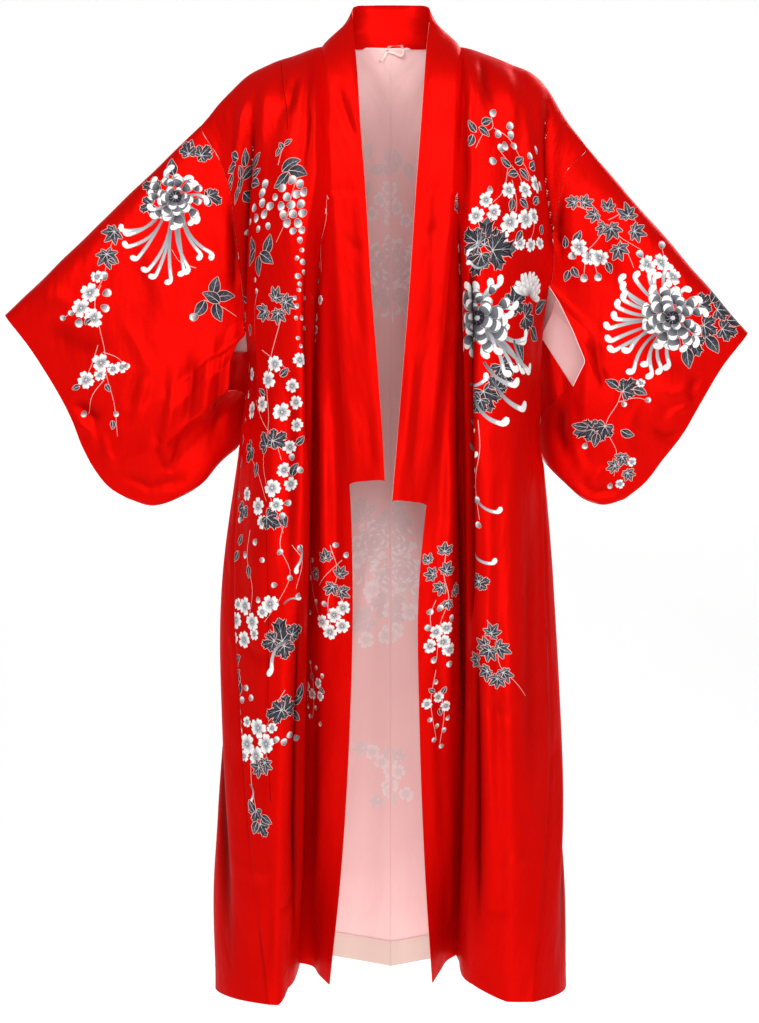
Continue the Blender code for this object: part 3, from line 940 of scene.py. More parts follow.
def grid_triangles(rows: int, columns: int, turned: bool) -> Array:
    """Triangles between neighbouring rows of a grid of points.

    Args:
        rows: how many rows of points.
        columns: how many points to a row.
        turned: whether the faces look the other way.

    Returns:
        Three point numbers for each triangle.
    """
    corner = (np.arange(rows - 1)[:, None] * columns + np.arange(columns - 1)).reshape(-1)
    below = np.column_stack([corner, corner + 1, corner + columns + 1])
    above = np.column_stack([corner, corner + columns + 1, corner + columns])
    faces = np.vstack([below, above])
    return faces[:, ::-1] if turned else faces


@dataclass
class ClothWall:
    """A cloth of real thickness, made from patches that are its outer face."""

    name: str
    patches: list
    thickness: float
    face: bpy.types.Material
    back: bpy.types.Material
    prints: dict = field(default_factory=dict)

    def build(self) -> bpy.types.Object:
        """Makes the wall's object: the outer face with its print, the inner face and the rims.

        Returns:
            The object.
        """
        grids = [patch.points.reshape(-1, 3) for patch in self.patches]
        outer, number = welded(np.concatenate(grids))
        starts = np.cumsum([0] + [len(grid) for grid in grids])
        normals = np.zeros_like(outer)
        for patch, start in zip(self.patches, starts):
            welded_to = number[start : start + patch.points[..., 0].size]
            np.add.at(normals, welded_to, patch.outward().reshape(-1, 3))
        normals /= np.maximum(np.linalg.norm(normals, axis=1, keepdims=True), 1e-12)
        count = len(outer)
        inner = outer - normals * self.thickness
        extra, extra_normals, faces, paint, laid, plain = [], [], [], [], [], []
        total = 2 * count
        for index, (patch, start) in enumerate(zip(self.patches, starts)):
            own = number[start : start + patch.points[..., 0].size]
            grid = grid_triangles(*patch.shape, patch.turn < 0)
            plain.append(own[grid])
            flat = patch.laid
            if index in self.prints and self.prints[index].shapes:
                places, corners, colours = self.prints[index].divide()
                if patch.turn < 0:
                    corners, colours = corners[:, ::-1], colours[:, ::-1]
                more = places[len(own) :]
                extra.append(patch.read(patch.points, more))
                extra_normals.append(patch.read(patch.outward(), more))
                own = np.concatenate([own, np.arange(total, total + len(more))])
                total += len(more)
                flat = np.vstack([flat, patch.read(flat.reshape(*patch.shape, 3), more)])
            else:
                corners, colours = grid, np.zeros((len(grid), 3, 4))
            faces.append(own[corners])
            paint.append(colours)
            laid.append(flat[corners])
            laid.append(flat[grid][:, ::-1])
        grid_faces = np.vstack(plain)
        proper = (grid_faces != np.roll(grid_faces, 1, axis=1)).all(axis=1)
        back = grid_faces[:, ::-1] + count
        rim = self.rims(grid_faces[proper], count)
        points = np.vstack([outer, inner, *extra])
        outward = np.vstack([normals, -normals, *extra_normals])
        laid_all = np.vstack(laid[0::2] + laid[1::2] + [np.zeros((len(rim), 3, 3))])
        return self.mesh_object(points, outward, np.vstack(faces), back, rim, np.vstack(paint), laid_all)

    @staticmethod
    def rims(faces: Array, count: int) -> Array:
        """Triangles that close the wall along its edges, from the outer points to the inner ones.

        Args:
            faces: the outer face's triangles.
            count: how many points it has.

        Returns:
            The triangles.
        """
        sides = np.vstack([faces[:, [0, 1]], faces[:, [1, 2]], faces[:, [2, 0]]])
        keys = set(map(tuple, sides))
        a, b = np.array([side for side in map(tuple, sides) if side[::-1] not in keys]).T
        return np.vstack([np.column_stack([b, a, a + count]), np.column_stack([b, a + count, b + count])])

    def mesh_object(
        self, points: Array, outward: Array, front: Array, back: Array, rim: Array, paint: Array, laid: Array
    ) -> bpy.types.Object:
        """The object, with its normals, its print colours and the places on the flat cloth as attributes.

        Args:
            points: all points.
            outward: the normal at each.
            front: the outer triangles.
            back: the inner ones.
            rim: those along the edges.
            paint: each corner's print colour and cover.
            laid: each corner's place on the flat cloth, and its share of painted fold shade.

        Returns:
            The object.
        """
        faces = np.vstack([front, back, rim])
        material = np.repeat((0, 1, 0), (len(front), len(back), len(rim)))
        proper = (faces != np.roll(faces, 1, axis=1)).all(axis=1)
        normals = outward[faces]
        across = points[rim]
        flat_side = np.cross(across[:, 1] - across[:, 0], across[:, 2] - across[:, 0])
        flat_side /= np.maximum(np.linalg.norm(flat_side, axis=1, keepdims=True), 1e-12)
        normals[len(front) + len(back) :] = flat_side[:, None]
        colours = np.zeros(faces.shape + (4,))
        colours[: len(front)] = paint
        faces, material, normals = faces[proper], material[proper], normals[proper]
        colours, laid = colours[proper], laid[proper]
        mesh = bpy.data.meshes.new(self.name)
        mesh.from_pydata(points.tolist(), [], faces.tolist())
        mesh.materials.append(self.face)
        mesh.materials.append(self.back)
        mesh.polygons.foreach_set("material_index", material.astype(np.int32))
        mesh.shade_smooth()
        print_colours = mesh.color_attributes.new("print", "FLOAT_COLOR", "CORNER")
        print_colours.data.foreach_set("color", colours.astype(np.float32).ravel())
        places = mesh.attributes.new("laid", "FLOAT_VECTOR", "CORNER")
        places.data.foreach_set("vector", laid.astype(np.float32).ravel())
        mesh.normals_split_custom_set(normals.reshape(-1, 3).tolist())
        made = bpy.data.objects.new(self.name, mesh)
        bpy.context.scene.collection.objects.link(made)
        return made


# --- Finishes ---------------------------------------------------------------------------------------------


@dataclass
class Level:
    """A number that varies over a surface. Its operators add Math nodes."""

    tree: bpy.types.NodeTree
    socket: bpy.types.NodeSocket

    def _math(self, operation: str, *values: Any) -> "Level":
        """A Math node of these values, as a level."""
        made = node(self.tree, "ShaderNodeMath", {"operation": operation}, dict(enumerate(values)))
        return Level(self.tree, made.outputs[0])

    def __add__(self, other: Any) -> "Level":
        """The sum of both."""
        return self._math("ADD", self, other)

    __radd__ = __add__

    def __mul__(self, other: Any) -> "Level":
        """The product of both."""
        return self._math("MULTIPLY", self, other)

    __rmul__ = __mul__

    def __sub__(self, other: Any) -> "Level":
        """This less the other."""
        return self._math("SUBTRACT", self, other)

    def __rsub__(self, other: Any) -> "Level":
        """The other less this."""
        return self._math("SUBTRACT", other, self)

    def sine(self) -> "Level":
        """The sine of this, in radians."""
        return self._math("SINE", self)


def node(tree: bpy.types.NodeTree, kind: str, settings: dict, values: dict) -> bpy.types.Node:
    """Adds a node.

    Args:
        tree: the tree it goes in.
        kind: its type.
        settings: its own settings, set first.
        values: for each socket's name or number, a value, a socket or a level.

    Returns:
        The node.
    """
    made = tree.nodes.new(kind)
    for name, setting in settings.items():
        setattr(made, name, setting)
    for name, value in values.items():
        if isinstance(value, Level):
            value = value.socket
        if isinstance(value, bpy.types.NodeSocket):
            tree.links.new(value, made.inputs[name])
        else:
            made.inputs[name].default_value = value
    return made


def noise(tree: bpy.types.NodeTree, places: Any, scale: float, detail: float = 2.0) -> Level:
    """Noise from 0 to 1 at some places, with scale spots to their unit."""
    made = node(tree, "ShaderNodeTexNoise", {}, {"Vector": places, "Scale": scale, "Detail": detail})
    return Level(tree, made.outputs["Fac"])


def blend(tree: bpy.types.NodeTree, share: Any, first: Any, second: Any, way: str = "MIX") -> Any:
    """A Mix node of two colours. Returns its colour socket."""
    settings = {"data_type": "RGBA", "blend_type": way}
    return node(tree, "ShaderNodeMix", settings, {0: share, 6: first, 7: second}).outputs[2]


class Weave(NamedTuple):
    """A cloth's threads: how many to a millimetre across and along, and how far they stand up, in metres."""

    across: float
    along: float
    height: float


@dataclass(frozen=True)
class ClothFinish:
    """A woven cloth's finish.

    colour, shade: its colour and the deeper one that it drifts to. printed: whether it carries the print
    and the shade painted into its folds.
    crinkle: how strongly the small creases show, as a height in metres. sewn_on: for threads and cords, which
    have no flat cloth of their own, so they take their places from the object. cover: how much it hides.
    """

    name: str
    colour: tuple
    shade: tuple
    roughness: float
    metal: float
    gloss: float
    tint: tuple
    weave: Weave
    crinkle: float
    printed: bool = False
    sewn_on: bool = False
    cover: float = 1.0

    def material(self) -> bpy.types.Material:
        """The finish as a material, made once.

        Returns:
            The material.
        """
        found = bpy.data.materials.get(self.name)
        if found:
            return found
        made = bpy.data.materials.new(self.name)
        made.use_nodes = True
        tree = made.node_tree
        shader = tree.nodes["Principled BSDF"]
        if self.sewn_on:
            here = node(tree, "ShaderNodeTexCoord", {}, {}).outputs["Object"]
            values = {0: here, "Scale": 1 / MM}
            laid = node(tree, "ShaderNodeVectorMath", {"operation": "SCALE"}, values).outputs[0]
        else:
            laid = node(tree, "ShaderNodeAttribute", {"attribute_name": "laid"}, {}).outputs["Vector"]
        streaks = self.streaks(tree, laid) + DOT_SHARE * self.threads(tree, laid)
        colour = blend(tree, streaks, (*self.colour, 1), (*self.shade, 1))
        rough = self.roughness - 0.08 + 0.16 * streaks
        metal = None
        if self.printed:
            ink = node(tree, "ShaderNodeAttribute", {"attribute_name": "print"}, {})
            cover = Level(tree, ink.outputs["Alpha"])
            colour = blend(tree, cover, colour, ink.outputs["Color"])
            metal = self.metal * (1 - cover)
            rough = rough + 0.12 * cover
            # Painted shade: the colour is darkened far inside a fold, where shade would fall.
            deep = node(tree, "ShaderNodeSeparateXYZ", {}, {"Vector": laid}).outputs[2]
            colour = blend(tree, deep, colour, (*PAINTED_FOLD_SHADE, 1), "MULTIPLY")
        tree.links.new(colour, shader.inputs["Base Color"])
        tree.links.new(rough.socket, shader.inputs["Roughness"])
        if metal:
            tree.links.new(metal.socket, shader.inputs["Metallic"])
        else:
            shader.inputs["Metallic"].default_value = self.metal
        shader.inputs["Alpha"].default_value = self.cover
        shader.inputs["Specular IOR Level"].default_value = self.gloss
        shader.inputs["Specular Tint"].default_value = (*self.tint, 1)
        tree.links.new(self.relief(tree, laid), shader.inputs["Normal"])
        return made

    def streaks(self, tree: bpy.types.NodeTree, laid: Any) -> Level:
        """Thin uneven streaks along the threads, from 0 to 1.

        Args:
            tree: the tree it goes in.
            laid: the places on the flat cloth.

        Returns:
            The level.
        """
        long = node(tree, "ShaderNodeMapping", {}, {"Vector": laid, "Scale": (0.9, 0.02, 0)}).outputs[0]
        fine = noise(tree, long, 1.0, 3.0)
        broad = noise(tree, laid, 0.012, 2.0)
        return 0.3 * fine + 0.7 * broad

    def threads(self, tree: bpy.types.NodeTree, laid: Any) -> Level:
        """The dots of the weave, from -1 to 1.

        Args:
            tree: the tree it goes in.
            laid: the places on the flat cloth.

        Returns:
            The level.
        """
        parts = node(tree, "ShaderNodeSeparateXYZ", {}, {"Vector": laid})
        across = Level(tree, parts.outputs[0]) * (2 * np.pi * self.weave.across)
        run = Level(tree, parts.outputs[1]) * (2 * np.pi * self.weave.along)
        return across.sine() * run.sine()

    def relief(self, tree: bpy.types.NodeTree, laid: Any) -> Any:
        """The threads and small creases as bumps.

        Args:
            tree: the tree it goes in.
            laid: the places on the flat cloth.

        Returns:
            The normal socket.
        """
        threads = self.threads(tree, laid)
        low = node(tree, "ShaderNodeMapping", {}, {"Vector": laid, "Scale": (0.032, 0.013, 0)}).outputs[0]
        creases = noise(tree, low, 1.0, 2.0)
        soft = node(
            tree, "ShaderNodeBump", {}, {"Strength": 1.0, "Distance": self.crinkle, "Height": creases}
        ).outputs[0]
        return node(
            tree,
            "ShaderNodeBump",
            {},
            {"Strength": 0.35, "Distance": self.weave.height, "Height": threads, "Normal": soft},
        ).outputs[0]


# How much of the drift from a cloth's colour to its shade the dots of its weave make.
DOT_SHARE = 0.5

# Painted shade: what the silk's colour is multiplied by far inside a fold, where shade would fall.
PAINTED_FOLD_SHADE = (0.14, 0.12, 0.12)

SILK = ClothFinish(
    name="woven_red_silk",
    colour=(0.66, 0.0036, 0.002),
    shade=(0.53, 0.0012, 0.0006),
    roughness=0.42,
    metal=0.45,
    gloss=0.06,
    tint=(1.0, 0.12, 0.08),
    weave=Weave(0.27, 0.27, 0.0002),
    crinkle=0.0032,
    printed=True,
)
LINING = ClothFinish(
    name="woven_pink_lining",
    colour=(0.93, 0.62, 0.60),
    shade=(0.88, 0.53, 0.52),
    roughness=0.55,
    metal=0.0,
    gloss=0.3,
    tint=(1.0, 1.0, 1.0),
    weave=Weave(0.5, 0.5, 0.0001),
    crinkle=0.003,
    printed=True,
)
FACING = ClothFinish(
    name="woven_cream_facing",
    colour=(0.74, 0.55, 0.49),
    shade=(0.68, 0.48, 0.42),
    roughness=0.55,
    metal=0.0,
    gloss=0.3,
    tint=(1.0, 1.0, 1.0),
    weave=Weave(0.5, 0.5, 0.0001),
    crinkle=0.002,
)
TAPE = ClothFinish(
    name="woven_loop_tape",
    colour=(0.84, 0.66, 0.62),
    shade=(0.78, 0.56, 0.52),
    roughness=0.4,
    metal=0.0,
    gloss=0.4,
    tint=(1.0, 1.0, 1.0),
    weave=Weave(1.2, 1.2, 0.0001),
    crinkle=0.0,
)
WORN_TAPE = replace(TAPE, name="woven_loop_tape_worn", cover=0.35)
PIPING = ClothFinish(
    name="sewn_pink_piping",
    colour=(0.86, 0.60, 0.56),
    shade=(0.74, 0.46, 0.44),
    roughness=0.45,
    metal=0.0,
    gloss=0.4,
    tint=(1.0, 1.0, 1.0),
    weave=Weave(1.0, 1.0, 0.0001),
    crinkle=0.0,
    sewn_on=True,
)
RED_THREAD = ClothFinish(
    name="sewn_red_thread",
    colour=(0.42, 0.004, 0.003),
    shade=(0.25, 0.002, 0.002),
    roughness=0.5,
    metal=0.0,
    gloss=0.3,
    tint=(1.0, 0.3, 0.3),
    weave=Weave(2.0, 2.0, 0.0001),
    crinkle=0.0,
    sewn_on=True,
)


# --- The print --------------------------------------------------------------------------------------------


def ink(red: int, green: int, blue: int) -> tuple:
    """An ink's linear colour, from its values on a screen out of 255."""
    values = np.array([red, green, blue]) / 255
    return tuple(np.where(values > 0.04045, ((values + 0.055) / 1.055) ** 2.4, values / 12.92))


WHITE = ink(226, 223, 220)
PALE = ink(186, 186, 188)
GREY = ink(124, 127, 132)
SLATE = ink(74, 77, 85)
CHARCOAL = ink(36, 36, 42)
ROSE = ink(212, 158, 152)
# Painted shade: the dark red of the lines drawn along seams and tucks, where their grooves are shaded.
PAINTED_SEAM_SHADE = ink(112, 4, 4)
OUTLINE = 0.9

# The lining where the print behind it is dark, and where it is white.
GHOST_DARK = np.array(ink(226, 200, 200))
GHOST_LIGHT = np.array(ink(246, 230, 228))


class Motif(Enum):
    """The ordinary flowers and leaves of the print, and lines of painted shade along seams and tucks."""

    BLOSSOM = "blossom"
    BUD = "bud"
    MAPLE = "maple"
    VINE = "vine"
    LEAF = "leaf"
    KIKU = "kiku"
    FAN = "fan"
    CURL = "curl"
    STEM = "stem"
    # Painted shade along a seam or tuck, drawn as a dark line.
    SEAM = "seam"


class Printed(NamedTuple):
    """A motif of the print: its place and size in squares of the chart, and its turn in degrees.

    more holds a kiku's droop, or the other points of a stem.
    """

    motif: Motif
    across: float
    down: float
    size: float = 10.0
    turn: float = 0.0
    more: tuple = ()


def bent(start: Any, end: Any, bend: float, count: int = 9) -> Array:
    """A line from start to end that bows out to its left by a share of its length.

    Args:
        start: its first point.
        end: its last.
        bend: the share.
        count: how many points.

    Returns:
        The points.
    """
    start, end = np.asarray(start, float), np.asarray(end, float)
    t = np.linspace(0, 1, count)[:, None]
    side = np.array([start[1] - end[1], end[0] - start[0]])
    return start + (end - start) * t + side * bend * 4 * t * (1 - t)


def swept(line: Array, widths: Any) -> Array:
    """The outline of a stroke along a line, with its width at each point.

    Args:
        line: its middle line.
        widths: one width, or one for each point.

    Returns:
        The outline.
    """
    way = np.gradient(line, axis=0)
    way /= np.maximum(np.linalg.norm(way, axis=1, keepdims=True), 1e-9)
    side = way[:, ::-1] * (-1, 1) * np.asarray(widths, float).reshape(-1, 1) / 2
    return np.vstack([line + side, (line - side)[::-1]])


def rounded(
    centre: Any, length: float, width: float, turn: float, count: int = 10, notch: float = 0.0
) -> Array:
    """An egg-shaped outline, with its tip pulled in by a notch.

    Args:
        centre: its middle.
        length: from the middle to the tip.
        width: from the middle to a side.
        turn: the way of the tip, in degrees.
        count: how many points.
        notch: the share of the length by which the tip is pulled in.

    Returns:
        The outline.
    """
    angle = np.linspace(0, 2 * np.pi, count, endpoint=False)
    reach = 1 - notch * np.exp(-((np.minimum(angle, 2 * np.pi - angle) / 0.4) ** 2))
    x, y = length * np.cos(angle) * reach, width * np.sin(angle) * (1 + 0.25 * np.cos(angle))
    return np.column_stack([x, y]) @ turned(turn) + centre


def turned(degrees: float) -> Array:
    """The matrix that turns rows of points to the left."""
    c, s = np.cos(np.radians(degrees)), np.sin(np.radians(degrees))
    return np.array([[c, s], [-s, c]])


def towards(degrees: float, reach: float) -> Array:
    """The point at a distance in a direction."""
    return np.array([np.cos(np.radians(degrees)), np.sin(np.radians(degrees))]) * reach


def grown(outline: Array, margin: float) -> Array:
    """An outline moved out from its middle by about a margin.

    Args:
        outline: its points.
        margin: how far out.

    Returns:
        The wider outline.
    """
    middle = outline.mean(axis=0)
    off = outline - middle
    return middle + off * (1 + margin / np.maximum(np.linalg.norm(off, axis=1, keepdims=True), margin))


@dataclass
class Drawing:
    """Draws motifs as shapes around their own place, in millimetres."""

    chance: np.random.Generator

    def draw(self, item: Printed) -> list:
        """The shapes of one motif.

        Args:
            item: the motif, its size and its turn.

        Returns:
            The shapes, about its own place.
        """
        size = item.size * CHART.square / MM
        if item.motif is Motif.STEM:
            return self.stem(item, ROSE, (1.1, 0.6))
        # Painted shade: a dark red line along a seam or tuck, where its groove is shaded.
        if item.motif is Motif.SEAM:
            return self.stem(item, PAINTED_SEAM_SHADE, (0.9, 0.9))
        if item.motif is Motif.KIKU:
            return self.kiku(size, item.turn, item.more)
        if item.motif is Motif.CURL:
            return self.curl(np.zeros(2), towards(item.turn, size), size * 0.2, *(item.more or (0.15, 40.0)))
        return getattr(self, item.motif.value)(size, item.turn)

    def blossom(self, size: float, turn: float) -> list:
        """A five-petalled blossom that darkens towards its heart.

        Args:
            size: its size, in millimetres.
            turn: its turn, in degrees.

        Returns:
            The shapes.
        """
        made, radius, edges = [], size / 2, []
        for k in range(5):
            angle = turn + 72 * k + self.chance.uniform(-8, 8)
            reach = radius * self.chance.uniform(0.9, 1.06)
            egg = rounded(towards(angle, reach * 0.57), reach * 0.47, reach * 0.37, angle, 11, 0.34)
            axis = np.array([towards(angle, reach * 0.12), towards(angle, reach * 0.66)])
            edges.append(Shape(grown(egg, OUTLINE * 0.45), GREY, GREY, axis))
            made.append(Shape(egg, GREY, WHITE, axis))
            for side in (-12, 14):
                line = np.array([towards(angle + side, radius * 0.1), towards(angle + side, radius * 0.48)])
                made.append(Shape(swept(line, (0.5, 0.7)), SLATE, GREY, axis))
        heart = rounded((0, 0), radius * 0.13, radius * 0.13, 0, 6)
        return [*edges, *made, Shape(heart, PALE, PALE, np.array([[0, 0], [1, 0]]))]

    def bud(self, size: float, turn: float) -> list:
        """A round bud with a grey foot and a white cap.

        Args:
            size: its size, in millimetres.
            turn: its turn, in degrees.

        Returns:
            The shapes.
        """
        egg = rounded((0, 0), size * 0.5, size * 0.42, turn, 10)
        axis = np.array([towards(turn + 180, size * 0.45), towards(turn, size * 0.3)])
        rim = bent(towards(turn - 62, size * 0.36), towards(turn + 62, size * 0.36), -0.3, 6)
        return [
            Shape(grown(egg, OUTLINE * 0.5), ROSE, ROSE, axis),
            Shape(egg, SLATE, PALE, axis),
            Shape(swept(rim, size * np.array([0.05, 0.2, 0.28, 0.28, 0.2, 0.05])), WHITE, WHITE, axis),
        ]

    def lobed(
        self, size: float, turn: float, base: float, lobes: tuple, width: float, point: float, toothed: bool
    ) -> list:
        """A lobed leaf.

        Args:
            size: its size across.
            turn: the way its middle lobe points.
            base: how far behind its middle the lobes meet, as a share of its size.
            lobes: each lobe's angle from the middle one, and its length as a share of the longest.
            width: a lobe's width as a share of its length.
            point: how far along a lobe its widest place is, from 0 to 1. A high one makes a blunt tip.
            toothed: whether each lobe has a tooth on each side.

        Returns:
            Its shapes.
        """
        root = towards(turn + 180, size * base)
        edges, fills, ribs = [], [], []
        t = np.linspace(0, 1, 7)
        swell = np.sin(np.pi * t ** (np.log(0.5) / np.log(point)))
        for angle, length in lobes:
            reach = size * length * 0.62 * self.chance.uniform(0.9, 1.08)
            way = turn + angle + self.chance.uniform(-5, 5)
            line = bent(root, root + towards(way, reach), self.chance.uniform(-0.07, 0.07), 7)
            wide = reach * width * swell + 0.5
            axis = line[[0, -1]]
            edges.append(Shape(swept(line, wide + 2 * OUTLINE), ROSE, ROSE, axis))
            fills.append(Shape(swept(line, wide), CHARCOAL, SLATE, axis))
            for side in (-1, 1) if toothed else ():
                tooth = np.array([line[3], line[3] + towards(way + side * 40, reach * 0.46)])
                thick = np.array([0.3, 0.05]) * reach
                edges.append(Shape(swept(tooth, thick + 2 * OUTLINE), ROSE, ROSE, axis))
                fills.append(Shape(swept(tooth, thick), CHARCOAL, CHARCOAL, axis))
            rib = line[:6]
            ribs.append(Shape(swept(rib, np.linspace(1.0, 0.4, 6)), PALE, GREY, axis))
            for side in (-1, 1):
                out = line[3] + towards(way + side * 38, wide[3] * 0.45)
                ribs.append(Shape(swept(np.array([line[2], out]), (0.6, 0.3)), GREY, GREY, axis))
        return [*edges, *fills, *ribs]

    def maple(self, size: float, turn: float) -> list:
        """A leaf of seven narrow pointed lobes."""
        lobes = ((-138, 0.5), (-94, 0.72), (-47, 0.92), (0, 1.0), (47, 0.92), (94, 0.72), (138, 0.5))
        return self.lobed(size, turn, 0.08, lobes, 0.42, 0.42, False)

    def vine(self, size: float, turn: float) -> list:
        """A broad leaf of five blunt lobes."""
        lobes = ((-104, 0.62), (-54, 0.86), (0, 1.1), (54, 0.86), (104, 0.62))
        return self.lobed(size, turn, 0.2, lobes, 0.52, 0.56, True)

    def leaf(self, size: float, turn: float) -> list:
        """A single pointed leaf with a rib.

        Args:
            size: its size, in millimetres.
            turn: its turn, in degrees.

        Returns:
            The shapes.
        """
        start, end = towards(turn + 180, size * 0.5), towards(turn, size * 0.5)
        line = bent(start, end, self.chance.uniform(-0.12, 0.12), 8)
        t = np.linspace(0, 1, 8)
        wide = size * 0.54 * np.sin(np.pi * t**0.8) + 0.3
        axis = np.array([start, end])
        made = [
            Shape(swept(line, wide + OUTLINE * 1.6), ROSE, ROSE, axis),
            Shape(swept(line, wide), CHARCOAL, SLATE, axis),
            Shape(swept(line[:7], np.linspace(0.9, 0.4, 7)), PALE, PALE, axis),
        ]
        for k, side in ((2, 1), (3, -1), (4, 1), (5, -1)):
            out = line[k] + towards(turn + side * 42, wide[k] * 0.5)
            made.append(Shape(swept(np.array([line[k], out]), (0.5, 0.3)), GREY, GREY, axis))
        return made

    def curl(self, base: Array, tip: Array, width: float, bend: float, hook: float) -> list:
        """A long thin petal whose white end hooks over.

        Args:
            base: where it starts.
            tip: where the hook starts.
            width: the hook's full width.
            bend: how far it bows to its left, as a share of its length.
            hook: how far its end turns, in degrees.

        Returns:
            Its shapes.
        """
        line = bent(base, tip, bend, 9)
        t = np.linspace(0, 1, 9)
        wide = width * (0.3 + 0.4 * t**1.4)
        way = line[-1] - line[-2]
        end = [line[-2], line[-1]]
        for _ in range(5):
            way = way @ turned(hook / 5)
            end.append(end[-1] + way / max(np.linalg.norm(way), 1e-6) * width * 0.32)
        end = np.array(end)
        full = width * np.array([0.25, 0.62, 0.85, 1.0, 1.05, 0.95, 0.5])
        axis = line[[0, -1]]
        return [
            Shape(swept(line, wide + OUTLINE * 0.8), GREY, SLATE, axis),
            Shape(swept(end, full + OUTLINE * 0.8), GREY, GREY, axis),
            Shape(swept(line, wide), SLATE, PALE, axis),
            Shape(swept(end, full), WHITE, WHITE, axis),
        ]

    def cup(self, centre: Array, angle: float, length: float, width: float) -> list:
        """A short dark petal that ends in a white crescent.

        Args:
            centre: its middle.
            angle: the way it points.
            length: its length.
            width: its width.

        Returns:
            Its shapes.
        """
        egg = rounded(centre, length * 0.5, width * 0.5, angle, 11)
        axis = centre + np.array([towards(angle + 180, length * 0.5), towards(angle, length * 0.45)])
        lean = self.chance.uniform(-22, 22)
        ends = [centre + towards(angle + lean + k * 68, length * 0.36) for k in (-1, 1)]
        rim = bent(*ends, -0.33, 8)
        wide = length * 0.31 * np.array([0.08, 0.5, 0.85, 1.0, 1.0, 0.85, 0.5, 0.08])
        return [
            Shape(grown(egg, OUTLINE * 0.5), GREY, PALE, axis),
            Shape(egg, CHARCOAL, GREY, axis),
            Shape(swept(rim, wide), WHITE, WHITE, axis),
        ]

    def kiku(self, size: float, turn: float, droop: tuple) -> list:
        """A chrysanthemum head.

        Args:
            size: how far across it is.
            turn: where its rings of petals start, in degrees.
            droop: the direction, spread and length of its long petals, and the way they hook (1 or -1).

        Returns:
            Its shapes, from the back to the front.
        """
        radius, made = size / 2, []
        way, spread, length, hook = droop or (270, 80, 1.0, 1)
        count = int(spread / 5.4)
        for k in range(count):
            share = (k + 0.5) / count * 2 - 1
            angle = way + share * spread + self.chance.uniform(-4, 4)
            reach = radius * (0.95 + length * (1 - 0.5 * share * share) * self.chance.uniform(0.3, 1.0))
            fall = towards(angle, reach) + towards(way, radius * 0.3 * length)
            bow = -0.2 * share + self.chance.uniform(-0.07, 0.07)
            made += self.curl(towards(angle, radius * 0.35), fall, radius * 0.16, bow, -115 * hook)
        for k in range(14):
            angle = turn + 360 / 14 * k + self.chance.uniform(-11, 11)
            reach = radius * self.chance.uniform(0.6, 0.92)
            start, end = towards(angle, radius * 0.3), towards(angle, reach)
            made += self.curl(start, end, radius * 0.16, 0.12, -95 * hook)
        for ring, (out, petals, long) in enumerate(((0.68, 11, 0.36), (0.45, 9, 0.36), (0.25, 6, 0.3))):
            for k in range(petals):
                angle = turn + 360 / petals * (k + ring * 0.4) + self.chance.uniform(-9, 9)
                place = towards(angle, radius * out * self.chance.uniform(0.82, 1.12))
                ahead = np.cos(np.radians(angle - way)) > 0
                grow = self.chance.uniform(0.72, 1.15) * (1.12 if ahead else 0.92)
                made += self.cup(place, angle, radius * long * grow, radius * long * grow * 0.82)
        axis = np.array([[0, 0], [1, 0]])
        made.append(Shape(rounded((0, 0), radius * 0.2, radius * 0.18, turn, 11), CHARCOAL, CHARCOAL, axis))
        for k in range(9):
            line = bent(towards(40 * k, radius * 0.05), towards(40 * k + 34, radius * 0.18), 0.2, 4)
            made.append(Shape(swept(line, (0.4, 0.8, 0.8, 0.3)), GREY, SLATE, axis))
        heart = rounded(towards(turn, radius * 0.02), radius * 0.07, radius * 0.06, 0, 8)
        return [*made, Shape(heart, PALE, PALE, axis)]

    def fan(self, size: float, turn: float) -> list:
        """A half-open chrysanthemum seen from the side, as a fan of pale petals.

        Args:
            size: its size, in millimetres.
            turn: its turn, in degrees.

        Returns:
            The shapes.
        """
        made = []
        for row, (reach, petals) in enumerate(((1.0, 11), (0.74, 8), (0.48, 5))):
            for k in range(petals):
                angle = turn + (k / (petals - 1) * 2 - 1) * (84 - 8 * row) + self.chance.uniform(-4, 4)
                tip = towards(angle, size * reach * self.chance.uniform(0.9, 1.06))
                line = bent(tip * 0.12, tip, self.chance.uniform(-0.1, 0.1), 7)
                wide = size * 0.24 * np.array([0.2, 0.45, 0.7, 0.9, 1.0, 0.9, 0.4])
                axis = line[[0, -1]]
                made.append(Shape(swept(line, wide + OUTLINE), GREY, GREY, axis))
                made.append(Shape(swept(line, wide), GREY, WHITE, axis))
        return made

    def stem(self, item: Printed, colour: tuple, widths: tuple) -> list:
        """A thin line through its points, which are given in squares from its place.

        Args:
            item: its place and points.
            colour: its colour.
            widths: its first and last width.

        Returns:
            The shape, in a list.
        """
        points = np.array(((0, 0), *item.more), float) * (1, -1) * CHART.square / MM
        line = divided(points, np.linspace(0, 1, 4 * len(points)))
        return [Shape(swept(line, np.linspace(*widths, len(line))), colour, colour, line[[0, -1]])]


def printed_on(patch: Patch, motifs: tuple) -> list:
    """The shapes of some motifs, in their places on a patch's flat cloth.

    Args:
        patch: the cloth.
        motifs: what is printed, in order.

    Returns:
        The shapes. Motifs that land off the cloth are left out.
    """
    if not motifs:
        return []
    anchors, distance = patch.pinned([(item.across, item.down) for item in motifs])
    drawing, made = Drawing(np.random.default_rng(7)), []
    for item, anchor, off in zip(motifs, anchors, distance):
        if off > item.size:
            continue
        for shape in drawing.draw(item):
            made.append(shape._replace(outline=shape.outline + anchor, axis=shape.axis + anchor))
    return made


def spray(motif: Motif, size: float, *places: tuple) -> tuple:
    """The same motif in several places, each (across, down) or (across, down, turn).

    Args:
        motif: what is printed.
        size: its size, in squares of the chart.
        places: where it is printed.

    Returns:
        One item for each place.
    """
    made = []
    for number, (across, down, *turn) in enumerate(places):
        made.append(Printed(motif, across, down, size, turn[0] if turn else 47 * number))
    return tuple(made)


